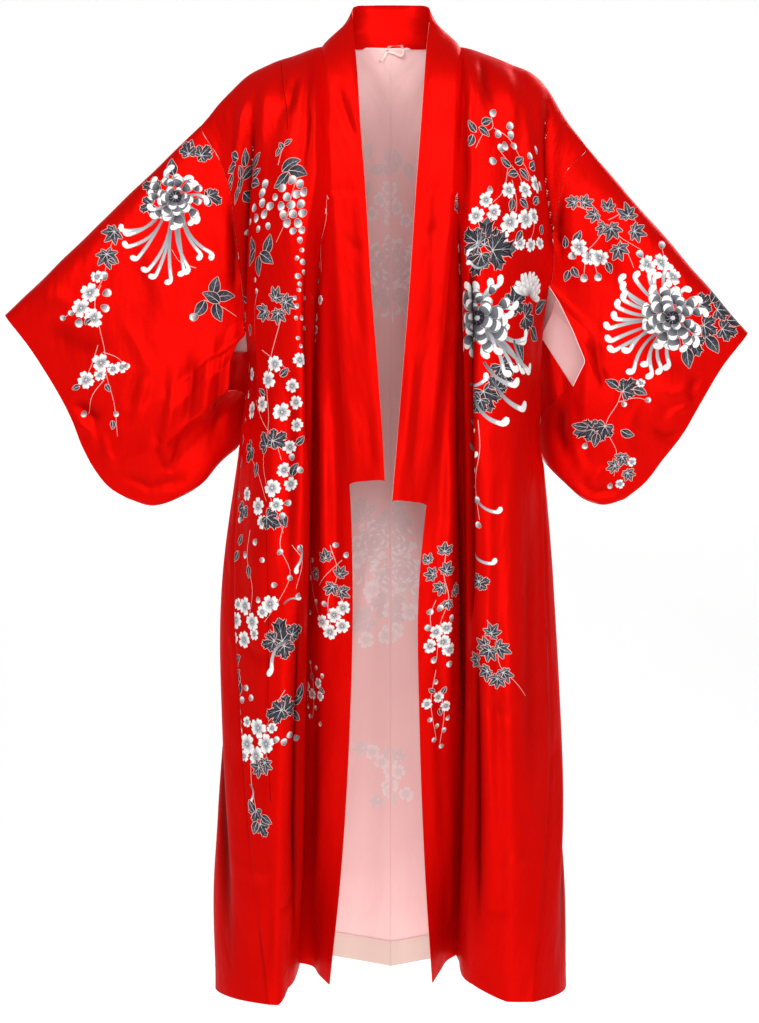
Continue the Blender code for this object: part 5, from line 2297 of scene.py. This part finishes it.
@dataclass
class EdgeTrim:
    """A thin cord or a row of stitches along a line, grown by Geometry Nodes.

    radius: the cord's or thread's, in metres. pitch and length: from stitch to stitch, and along one of them.
    """

    trim: Trim
    finish: ClothFinish
    radius: float = 0.8 * MM
    pitch: float = 4.5 * MM
    length: float = 2.6 * MM
    seed: int = 3

    def tree(self) -> bpy.types.NodeTree:
        """The node tree, with an input for each size.

        Returns:
            The tree.
        """
        tree = bpy.data.node_groups.new(f"{self.trim.value}_along_a_line", "GeometryNodeTree")
        kinds = {"Line": "Geometry", "Radius": "Float", "Pitch": "Float", "Length": "Float"}
        kinds.update({"Seed": "Int", "Material": "Material"})
        for name, kind in kinds.items():
            tree.interface.new_socket(name, in_out="INPUT", socket_type=f"NodeSocket{kind}")
        tree.interface.new_socket("Trim", in_out="OUTPUT", socket_type="NodeSocketGeometry")
        given = node(tree, "NodeGroupInput", {}, {}).outputs
        curve = node(tree, "GeometryNodeMeshToCurve", {}, {"Mesh": given["Line"]}).outputs[0]
        laid_on = self.stitches if self.trim is Trim.STITCHES else self.cord
        shape = laid_on(tree, given, curve)
        real = node(tree, "GeometryNodeRealizeInstances", {}, {"Geometry": shape}).outputs[0]
        smooth = node(tree, "GeometryNodeSetShadeSmooth", {}, {"Geometry": real}).outputs[0]
        values = {"Geometry": smooth, "Material": given["Material"]}
        finished = node(tree, "GeometryNodeSetMaterial", {}, values).outputs[0]
        node(tree, "NodeGroupOutput", {}, {"Trim": finished})
        return tree

    def cord(self, tree: bpy.types.NodeTree, given: Any, curve: Any) -> Any:
        """A round cord along the curve.

        Args:
            tree: the tree it goes in.
            given: the tree's inputs.
            curve: the line that it follows.

        Returns:
            The geometry socket.
        """
        values = {"Resolution": 8, "Radius": given["Radius"]}
        ring = node(tree, "GeometryNodeCurvePrimitiveCircle", {"mode": "RADIUS"}, values).outputs[0]
        values = {"Curve": curve, "Profile Curve": ring, "Fill Caps": True}
        return node(tree, "GeometryNodeCurveToMesh", {}, values).outputs[0]

    def stitches(self, tree: bpy.types.NodeTree, given: Any, curve: Any) -> Any:
        """A short thread at each step of the curve.

        Args:
            tree: the tree it goes in.
            given: the tree's inputs.
            curve: the line that it follows.

        Returns:
            The geometry socket.
        """
        values = {"Curve": curve, "Length": given["Pitch"]}
        steps = node(tree, "GeometryNodeResampleCurve", {"mode": "LENGTH"}, values).outputs[0]
        thread = node(tree, "GeometryNodeMeshIcoSphere", {}, {"Radius": 1.0, "Subdivisions": 2}).outputs[0]
        tangent = node(tree, "GeometryNodeInputTangent", {}, {}).outputs[0]
        turn = node(tree, "FunctionNodeAlignRotationToVector", {"axis": "Z"}, {"Vector": tangent}).outputs[0]
        values = {2: 0.8, 3: 1.15, "Seed": given["Seed"]}
        chance = Level(tree, node(tree, "FunctionNodeRandomValue", {"data_type": "FLOAT"}, values).outputs[1])
        long = 0.5 * chance * Level(tree, given["Length"])
        values = {"X": given["Radius"], "Y": given["Radius"], "Z": long}
        scale = node(tree, "ShaderNodeCombineXYZ", {}, values).outputs[0]
        values = {"Points": steps, "Instance": thread, "Rotation": turn, "Scale": scale}
        return node(tree, "GeometryNodeInstanceOnPoints", {}, values).outputs[0]

    def build(self, name: str, line: Array, node_name: str, slot: str) -> bpy.types.Object:
        """Grows the trim.

        Args:
            name: its piece's name.
            line: the points that it follows, in metres.
            node_name: the CAD node that it is part of.
            slot: not used.

        Returns:
            The piece.
        """
        mesh = bpy.data.meshes.new(f"{name}_line")
        mesh.from_pydata([tuple(point) for point in line], [(k, k + 1) for k in range(len(line) - 1)], [])
        made = bpy.data.objects.new(name, mesh)
        bpy.context.scene.collection.objects.link(made)
        modifier = made.modifiers.new("trim", "NODES")
        modifier.node_group = self.tree()
        values = {"Radius": self.radius, "Pitch": self.pitch, "Length": self.length}
        values.update({"Seed": self.seed, "Material": self.finish.material()})
        for socket in modifier.node_group.interface.items_tree:
            if socket.in_out == "INPUT" and socket.name in values:
                modifier[socket.identifier] = values[socket.name]
        graph = bpy.context.evaluated_depsgraph_get()
        plain = bpy.data.meshes.new_from_object(made.evaluated_get(graph))
        made.modifiers.clear()
        made.data = plain
        stand_in(made, node_name)
        return made


# --- The robe's pieces ------------------------------------------------------------------------------------


@dataclass
class Body:
    """One body panel, cut in one length over the shoulder, with the lining behind it and its hem facing."""

    half: Half
    creases: tuple = ()
    back_creases: tuple = ()
    shapes: list = field(default_factory=list)
    flat_size: tuple = (0.41, 2.74)
    flat_area: float = 0.66

    def shape(self) -> None:
        """Forms the front and back patches, presses their folds and joins them at the side and shoulder."""
        heights = row_heights(self.half)
        self.heights = heights
        self.armhole_row = int(np.argmin(np.abs(heights - self.half.armhole_height)))
        front, back = front_grid(self.half, heights), back_grid(self.half, heights)
        back[-1][: front.shape[1]] = front[-1][::-1]
        centre, shoulder = back[:, -1].copy(), back[-1].copy()
        self.front = Patch(front, (0, -1, 0))
        self.back = Patch(back, (0, 1, 0))
        seed = 11 + self.half.sign
        drape(self.front, seed, 0.5, 70, 420)
        drape(self.back, seed + 5, 1.6, 90, 700)
        self.front.press(self.creases)
        self.back.press(turned_over(self.back_creases, self.half.sign), charted=False)
        below = slice(0, self.armhole_row + 1)
        side = self.back.points[:, 0].copy()
        side[below] = self.front.points[below, -1]
        self.back.join(Edge.FIRST_COLUMN, side)
        centre[:, 0] = 0
        centre[:-1, 1] -= SEAM_SINK / 2
        self.back.join(Edge.LAST_COLUMN, centre)
        sink = self.front.outward()[below, -1] * SEAM_SINK
        self.front.points[below, -1] -= sink
        self.back.points[below, 0] -= sink
        shoulder[: front.shape[1]] = self.front.points[-1][::-1]
        shoulder[front.shape[1] :] += (0, -NECK_TUCK / 2, NECK_TUCK)
        self.back.join(Edge.LAST_ROW, shoulder, reach=14)

    def build(self) -> None:
        """Makes the panel, its lining and its facing."""
        side = self.half.name
        silk, pink, cream = SILK.material(), LINING.material(), FACING.material()
        printed = Print(self.front)
        printed.add(self.shapes)
        panel = ClothWall(f"silk_body_{side}", [self.back, self.front], SILK_THICK, silk, pink, {1: printed})
        finish_sheet(panel.build(), f"body_{side}")
        lining = Patch(self.back.moved_in(LINING_DEPTH + LINING_THICK).points, (0, -1, 0))
        lining.points[:, -1, 0] = self.half.sign * SEAM_GAP / 3
        ghost = Print(lining)
        ghost.add(faded(printed_on(lining, LINING_PRINT)))
        made = ClothWall(f"back_lining_{side}", [lining], LINING_THICK, pink, pink, {0: ghost})
        finish_sheet(made.build(), f"lining_{side}")
        rows = int(round(FACING_HEIGHT / ROW_STEP)) + 1
        facing = self.back.part(slice(0, rows)).moved_in(FACING_DEPTH)
        facing.points[:, -1, 0] = self.half.sign * SEAM_GAP / 3
        made = ClothWall(f"facing_{side}", [facing], FACING_THICK, cream, cream)
        finish_sheet(made.build(), f"hem_facing_{side}")
        row = int(round(HEM_STITCH / ROW_STEP))
        line = np.vstack([self.back.points[row, ::-1], self.front.points[row, ::-1]])
        stitches = EdgeTrim(Trim.STITCHES, RED_THREAD, radius=0.35 * MM)
        stitches.build(f"hem_stitches_{side}", line, f"body_{side}", "red_silk")
        top = facing.points[-2] - facing.outward()[-2] * FACING_THICK
        stitches = EdgeTrim(Trim.STITCHES, PIPING, radius=0.3 * MM, pitch=6 * MM)
        stitches.build(f"facing_stitches_{side}", top, f"hem_facing_{side}", "cream_facing")


@dataclass
class Overlap:
    """The narrow panel that a front is widened with, which ends in a point under the collar."""

    body: Body
    creases: tuple = ()
    shapes: list = field(default_factory=list)
    flat_size: tuple = (0.075, 1.12)

    def shape(self) -> None:
        """Forms the panel, with its seam edge on the front panel's."""
        half = self.body.half
        heights = self.body.heights[self.body.heights <= OVERLAP_TIP]
        places = np.linspace(0, 1, OVERLAP_STEPS + 1)
        rises = (half.hem_rise["inner"] + (half.hem_rise["edge"] - half.hem_rise["inner"]) * places) * MM
        rows = []
        for height, line in zip(heights, named_lines(half.overlap, heights)):
            across = divided(line, places)
            rows.append(np.column_stack([across, actual_heights(half, height, 0 * rises, rises)]))
        self.patch = Patch(np.array(rows) * (half.sign, 1, 1), (0, -1, 0))
        self.patch.press(self.creases)
        self.patch.join(Edge.FIRST_COLUMN, self.body.front.points[: len(rows), 0], reach=5)

    def build(self) -> None:
        """Makes the panel."""
        side = self.body.half.name
        printed = Print(self.patch)
        printed.add(self.shapes)
        wall = ClothWall(
            f"silk_overlap_{side}", [self.patch], SILK_THICK, SILK.material(), LINING.material(), {0: printed}
        )
        finish_sheet(wall.build(), f"overlap_{side}")


@dataclass
class Collar:
    """The long band that runs up one front, round the back of the neck and down the other."""

    overlaps: tuple
    creases: tuple = ()
    flat_size: tuple = (0.052, 1.48)

    def half_rows(self, overlap: Overlap) -> Array:
        """The band's rows from one front end up to the centre of the back neck.

        Args:
            overlap: the overlap panel at that front.

        Returns:
            The rows of points, in metres.
        """
        body, half = overlap.body, overlap.body.half
        table = np.array(half.collar_edge, float) * MM
        heights = np.concatenate([[table[0, 0]], body.heights[body.heights > table[0, 0]]])
        ends = len(overlap.patch.points)
        neckline = np.vstack([overlap.patch.points[:, -1], body.front.points[ends:, 0]]) * (half.sign, 1, 1)
        seams = smooth(body.heights, neckline, heights)
        edges = smooth(table[:, 0], table[:, 1:], heights)
        neck = np.linspace(half.shoulder[0][0] * MM, 0, COLLAR_NECK_STEPS + 1)[1:]
        seams = np.vstack([seams, shoulder_points(half, neck)])
        turn = divided(np.array(NECK_EDGE, float) * MM, np.linspace(0, 1, COLLAR_NECK_STEPS + 1))[1:]
        edges = np.vstack([edges, turn])
        places = np.linspace(0, 1, COLLAR_STEPS + 1)[:, None]
        swell = np.array([0, -COLLAR_SWELL, COLLAR_SWELL]) * (1 - (2 * places - 1) ** 6)
        rows = seams[:, None] + (edges - seams)[:, None] * places + swell
        return rows * (half.sign, 1, 1)

    def shape(self) -> None:
        """Forms the whole band as one patch."""
        right, left = (self.half_rows(overlap) for overlap in self.overlaps)
        self.patch = Patch(np.concatenate([right, left[-2::-1]]), (0, -1, 0))
        seam = self.patch.points[:, 0].copy()
        self.patch.press(self.creases)
        self.patch.join(Edge.FIRST_COLUMN, seam, reach=3)

    def build(self) -> None:
        """Makes the band."""
        silk = SILK.material()
        wall = ClothWall("silk_collar", [self.patch], COLLAR_THICK, silk, silk)
        finish_sheet(wall.build(), "collar")
        middle = len(self.patch.points) // 2 + COLLAR_NECK_STEPS
        edge = self.patch.points[middle:, -1] - self.patch.outward()[middle:, -1] * COLLAR_THICK / 2
        piping = EdgeTrim(Trim.PIPING, PIPING, radius=PIPING_RADIUS)
        piping.build("collar_edge_piping", edge, "collar", "pink_lining")


@dataclass
class Sleeve:
    """A wide sleeve: one length folded along its top and sewn along its bottom, with its lining."""

    body: Body
    creases: tuple = ()
    back_creases: tuple = ()
    shapes: list = field(default_factory=list)
    flap: tuple = ()
    piped: bool = False
    flat_sizes: dict = field(default_factory=lambda: {"right": (0.31, 0.92), "left": (0.27, 0.86)})
    lining_sizes: dict = field(default_factory=lambda: {"right": (0.275, 0.90), "left": (0.255, 0.86)})

    def edge(self, patch: Patch, column: int, slit: tuple, gap: float) -> Array:
        """One layer's edge at the body, from the shoulder down the armhole and the slit, at even steps.

        Args:
            patch: the body panel at that layer.
            column: the panel's column at the armhole.
            slit: the slit's points, in millimetres.
            gap: how far the last armhole point is moved back.

        Returns:
            The points.
        """
        half = self.body.half
        armhole = patch.points[self.body.armhole_row :, column][::-1] * (half.sign, 1, 1)
        armhole = armhole + (2 * SEAM_GAP, 0, 0)
        armhole[-1, 1] += gap
        line = np.vstack([armhole[-1:], np.array(slit, float) * MM])
        fine = even(line, 60)[1:]
        whole = np.vstack([armhole, fine])
        length = np.linalg.norm(np.diff(whole, axis=0), axis=1).sum()
        return even(whole, int(length / SLEEVE_STEP))

    def layer(self, inner: Array, side: int) -> Array:
        """A layer's points from its fold (first row) to its bottom seam.

        Args:
            inner: the layer's edge at the body.
            side: -1 for the front layer and 1 for the back one.

        Returns:
            The grid of points, in metres.
        """
        half = self.body.half
        down = along(inner)
        cuff = divided(np.array([(x, 0, z) for x, z in half.cuff], float) * MM, down)
        cuff[:, 1] = side * CUFF_FULL * rounding(down / SLEEVE_ROUND) * (1 - 0.75 * down)
        seam = np.array([(x, 0, z) for x, z in half.sleeve_bottom]) * MM
        width = np.linalg.norm(cuff[len(cuff) // 2] - inner[len(inner) // 2])
        s = np.linspace(0, 1, int(width / SLEEVE_STEP) + 1)
        low = divided(np.vstack([inner[-1] * (1, 0, 1), seam]), s)
        low[:, 1] = side * 6 * MM + (inner[-1, 1] - side * 6 * MM) * (1 - s) ** 3
        fold = inner[0] + (cuff[0] - inner[0]) * s[:, None]
        fold[:, 2] -= half.fold_sag * 4 * s * (1 - s)
        q = down[:, None, None]
        s = s[None, :, None]
        across = inner[:, None] + (cuff - inner)[:, None] * s
        across[..., 1] = cuff[:, None, 1] + (inner - cuff)[:, None, 1] * (1 - s[..., 0]) ** 2.2
        along_q = fold[None] + (low - fold)[None] * q
        corners = fold[None] * (1 - q) + (inner[-1] + (cuff[-1] - inner[-1]) * s) * q
        points = across + along_q - corners
        full = side * SLEEVE_FULL * 4 * s * (1 - s) * rounding(q / SLEEVE_ROUND) * (1 - q)
        points[..., 1] += full[..., 0]
        return points

    def shape(self) -> None:
        """Forms both layers, presses their folds and joins them along the fold and the bottom seam."""
        half = self.body.half
        front_edge = self.edge(self.body.front, -1, half.slit_front, -2 * MM)
        back_edge = self.edge(self.body.back, 0, half.slit_back, 2 * MM)
        back_edge = even(back_edge, len(front_edge))
        front = self.layer(front_edge, -1) * (half.sign, 1, 1)
        back = self.layer(back_edge, 1)
        back = np.stack([even_rows(row, front.shape[1]) for row in back]) * (half.sign, 1, 1)
        back[0] = front[0]
        rows = len(front)
        closing = rounding(np.linspace(0, 1, rows)[::-1] / BOTTOM_ROUND)[:, None, None]
        middle = (front[-1] + back[-1])[None] / 2
        tucked = middle - (front[-1] + back[-1])[None] / 2
        for layer, low in ((front, front[-1].copy()), (back, back[-1].copy())):
            layer += (middle - low[None]) * (1 - closing) + tucked
        flat_front = front[..., [0, 2]] / MM
        flat_back = back[..., [0, 2]] / MM * (-1, 1)
        self.front = Patch(front, (0, -1, 0), flat_front)
        self.back = Patch(back, (0, 1, 0), flat_back)
        seed = 31 + half.sign
        drape(self.front, seed, 0.7, 80, 260)
        drape(self.back, seed + 3, 1.0, 80, 260)
        self.front.press(self.creases)
        self.back.press(turned_over(self.back_creases, -half.sign), charted=False)
        self.front.join(Edge.FIRST_COLUMN, front_edge * (half.sign, 1, 1), reach=6)
        self.back.join(Edge.FIRST_COLUMN, back_edge * (half.sign, 1, 1), reach=6)
        room = SLEEVE_ROOM * np.sin(np.pi * np.linspace(0, 1, rows))[:, None] ** 0.4
        room = room * eased((np.arange(front.shape[1]) + 3) / 5)
        short = np.maximum(room - (self.back.points[..., 1] - self.front.points[..., 1]), 0)
        self.front.points[..., 1] -= short / 2
        self.back.points[..., 1] += short / 2
        self.clear_back_layer()
        self.back.join(Edge.FIRST_ROW, self.front.points[0])
        self.back.join(Edge.LAST_ROW, self.front.points[-1])

    def clear_back_layer(self) -> None:
        """Moves the front layer forward where it comes within a wall or two of the back one."""
        ahead = self.front.points[..., [0, 2]].reshape(-1, 2) / MM
        spots, distance = self.back.nearest("front view", self.back.points[..., [0, 2]] / MM, ahead)
        behind = self.back.read(self.back.points, spots)[:, 1].reshape(self.front.shape)
        short = 3 * SILK_THICK - (behind - self.front.points[..., 1])
        short[distance.reshape(self.front.shape) > SLEEVE_STEP / MM] = 0
        inside = slice(LAYERS_MEET, -LAYERS_MEET)
        self.front.points[inside, :, 1] -= np.maximum(short[inside], 0)
        self.back.trees.clear()

    def build(self) -> None:
        """Makes the sleeve and its lining."""
        side = self.body.half.name
        silk, pink = SILK.material(), LINING.material()
        printed = Print(self.front)
        printed.add(self.shapes)
        wall = ClothWall(f"silk_sleeve_{side}", [self.front, self.back], SILK_THICK, silk, pink, {0: printed})
        finish_sheet(wall.build(), f"sleeve_{side}")
        middle = (self.front.points[..., 1] + self.back.points[..., 1]) / 2
        linings = []
        for patch, way in ((self.front, -1), (self.back, 1)):
            lining = patch.moved_in(LINING_DEPTH)
            clear = way * (lining.points[..., 1] - middle)
            lining.points[..., 1] += way * np.maximum(LINING_THICK + SEAM_GAP - clear, 0)
            linings.append(lining.part(slice(None), slice(LINING_START[side], -1)))
        linings[1].points[0] = linings[0].points[0]
        linings[1].points[-1] = linings[0].points[-1]
        wall = ClothWall(f"lining_in_sleeve_{side}", linings, LINING_THICK, pink, pink)
        finish_sheet(wall.build(), f"sleeve_lining_{side}")
        self.build_flap()

    def build_flap(self) -> None:
        """Makes the silk turned in below the slit, and, where the sleeve is piped, the piping along the
        slit's edges.
        """
        side = self.body.half.name
        silk = SILK.material()
        inside = Patch(self.back.moved_in(LINING_DEPTH + LINING_THICK + 2 * SEAM_GAP).points, (0, -1, 0))
        top, low = (even(np.array(line, float), FLAP_STEPS) for line in self.flap)
        places = top[None] + (low - top)[None] * np.linspace(0, 1, FLAP_STEPS + 1)[:, None, None]
        flap = Patch(inside.placed(places.reshape(-1, 2)).reshape(*places.shape[:2], 3), (0, -1, 0))
        wall = ClothWall(f"slit_flap_{side}", [flap], FLAP_THICK, silk, silk)
        finish_sheet(wall.build(), f"sleeve_{side}")
        if not self.piped:
            return
        piping = EdgeTrim(Trim.PIPING, PIPING, radius=PIPING_RADIUS)
        lip = flap.points[0] + flap.outward()[0] * SILK_THICK / 2
        piping.build(f"slit_lip_piping_{side}", lip, f"sleeve_{side}", "pink_lining")
        edge = self.front.points[:, 0]
        run = np.concatenate([[0], np.cumsum(np.linalg.norm(np.diff(edge, axis=0), axis=1))])
        armhole = self.body.front.points[self.body.armhole_row :, -1]
        start = np.linalg.norm(np.diff(armhole, axis=0), axis=1).sum()
        slit = edge[(run > start) & (edge[:, 2] > flap.points[0, -1, 2])]
        piping.build(f"slit_edge_piping_{side}", slit, f"sleeve_{side}", "pink_lining")


def turned_over(creases: tuple, sign: int) -> list:
    """Folds with their lines mirrored across the cloth where the sign is -1."""
    return [crease._replace(line=tuple((sign * a, b) for a, b in crease.line)) for crease in creases]


def even_rows(row: Array, count: int) -> Array:
    """A row of points taken again at count places.

    Args:
        row: the points.
        count: how many places.

    Returns:
        The new row.
    """
    places = np.linspace(0, 1, len(row))
    wanted = np.linspace(0, 1, count)
    return np.column_stack([np.interp(wanted, places, row[:, k]) for k in range(3)])


def stand_in(piece: bpy.types.Object, node_name: str) -> None:
    """Attaches a piece to the root and hides the part of the CAD node that it stands for.

    Args:
        piece: the piece.
        node_name: the CAD node.
    """
    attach(piece, "root")
    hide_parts(node_name)
    log.info("%s: %d faces", piece.name, len(piece.data.polygons))


def finish_sheet(
    piece: bpy.types.Object, node_name: str
) -> None:
    """Attaches a sheet of cloth to the root and hides the part of the CAD node that it stands for."""
    stand_in(piece, node_name)


@dataclass
class HangerLoop:
    """The narrow tape loop stitched inside the back of the neck, whose top is worn thin."""

    tail: tuple = ((-14, -10), (-10, -4), (-5, 3), (4, 1.5), (16, -1.5), (17.5, 2), (17, 7))
    top: tuple = ((17, 7), (15, 12), (8, 13), (0, 12), (-4, 8), (-5, 3))
    front: float = 49 * MM
    width: float = 3.6 * MM
    thickness: float = 0.8 * MM
    steps: int = 44

    def build(self) -> None:
        """Makes the tape, standing on edge along its line."""
        parts = (("loop_tape_tail", self.tail, TAPE), ("loop_tape_top", self.top, WORN_TAPE))
        for name, line, finish in parts:
            line = divided(np.array(line, float) * MM, np.linspace(0, 1, self.steps))
            heading = np.gradient(line, axis=0)
            heading /= np.linalg.norm(heading, axis=1)[:, None]
            side = heading[:, ::-1] * (-1, 1) * self.width / 2
            across = np.linspace(-1, 1, 5)[None, :, None]
            points = np.insert(line[:, None] + side[:, None] * across, 1, self.front, axis=2)
            tape = finish.material()
            wall = ClothWall(name, [Patch(points, (0, -1, 0))], self.thickness, tape, tape)
            stand_in(wall.build(), "hanger_loop")


# --- The view ---------------------------------------------------------------------------------------------


@dataclass
class Studio:
    """A white floor that curves up into a backdrop, soft lights and the camera."""

    floor: float = -2.3
    wall: float = 5.2
    bend: float = 2.0
    half_width: float = 9.0
    lens_height: float = 24.0

    def build(self) -> None:
        """Makes everything round the robe."""
        self.backdrop()
        self.lights()
        self.camera()

    def backdrop(self) -> None:
        """The floor and wall as one swept sheet."""
        turn = np.linspace(0, np.pi / 2, 17)
        y = np.concatenate([[-6.0], self.wall - self.bend + self.bend * np.sin(turn), [self.wall]])
        z = self.floor + np.concatenate([[0.0], self.bend * (1 - np.cos(turn)), [self.bend + 4.0]])
        points = [(x, b, c) for b, c in zip(y, z) for x in (-self.half_width, self.half_width)]
        faces = [(k, k + 1, k + 3, k + 2) for k in range(0, len(points) - 2, 2)]
        mesh = bpy.data.meshes.new("backdrop")
        mesh.from_pydata(points, [], faces)
        mesh.shade_smooth()
        paper = bpy.data.materials.new("white_paper")
        paper.use_nodes = True
        shader = paper.node_tree.nodes["Principled BSDF"]
        shader.inputs["Base Color"].default_value = (0.9, 0.9, 0.9, 1)
        shader.inputs["Roughness"].default_value = 0.9
        shader.inputs["Emission Color"].default_value = (1, 1, 1, 1)
        shader.inputs["Emission Strength"].default_value = 0.36
        mesh.materials.append(paper)
        made = bpy.data.objects.new("backdrop", mesh)
        bpy.context.scene.collection.objects.link(made)

    def lights(self) -> None:
        """A white world and large soft lamps."""
        world = bpy.data.worlds.new("studio")
        world.use_nodes = True
        sky = world.node_tree.nodes["Background"]
        sky.inputs["Color"].default_value = (1, 1, 1, 1)
        sky.inputs["Strength"].default_value = 0.33
        bpy.context.scene.world = world
        for name, place, size, power in (
            ("key", (-1.5, -2.6, 1.5), 1.2, 60),
            ("front", (0.3, -3.6, 0.0), 2.0, 54),
            ("side", (1.6, -2.4, 1.0), 0.9, 38),
            ("behind", (1.6, 2.6, 1.4), 1.2, 50),
        ):
            lamp = bpy.data.lights.new(name, "AREA")
            lamp.size, lamp.energy = size, power
            made = bpy.data.objects.new(name, lamp)
            made.location = place
            made.rotation_euler = (Vector((0, 0, -0.6)) - Vector(place)).to_track_quat("-Z", "Y").to_euler()
            bpy.context.scene.collection.objects.link(made)
        bpy.context.scene.view_settings.view_transform = "Standard"

    def camera(self) -> None:
        """The camera, which stands where the chart is seen from."""
        lens = bpy.data.cameras.new("camera")
        lens.sensor_fit = "VERTICAL"
        lens.sensor_height = self.lens_height
        lens.lens = CHART.reach / CHART.frame_height * self.lens_height
        made = bpy.data.objects.new("camera", lens)
        made.location = CHART.stand
        made.rotation_euler = (np.radians(90 - CHART.tilt), 0, 0)
        bpy.context.scene.collection.objects.link(made)
        bpy.context.scene.camera = made


def main() -> None:
    """Builds the robe piece by piece, then the view of it."""
    logging.basicConfig(level=logging.INFO, format="%(name)s: %(message)s")
    overlaps = []
    for half in (RIGHT, LEFT):
        body = Body(half, FRONT_CREASES[half.name], BACK_CREASES[half.name])
        body.shape()
        body.shapes = printed_on(body.front, BODY_PRINT[half.name])
        overlap = Overlap(body, OVERLAP_CREASES[half.name])
        overlap.shape()
        overlap.shapes = printed_on(overlap.patch, OVERLAP_PRINT[half.name])
        creases, flap = SLEEVE_CREASES[half.name], SLIT_FLAPS[half.name]
        sleeve = Sleeve(body, creases, SLEEVE_BACK_CREASES, flap=flap, piped=half is LEFT)
        sleeve.shape()
        sleeve.shapes = printed_on(sleeve.front, SLEEVE_PRINT[half.name])
        for part in (body, overlap, sleeve):
            part.build()
        overlaps.append(overlap)
    collar = Collar(tuple(overlaps), COLLAR_CREASES)
    collar.shape()
    collar.build()
    HangerLoop().build()
    Studio().build()


if __name__ == "__main__":
    main()
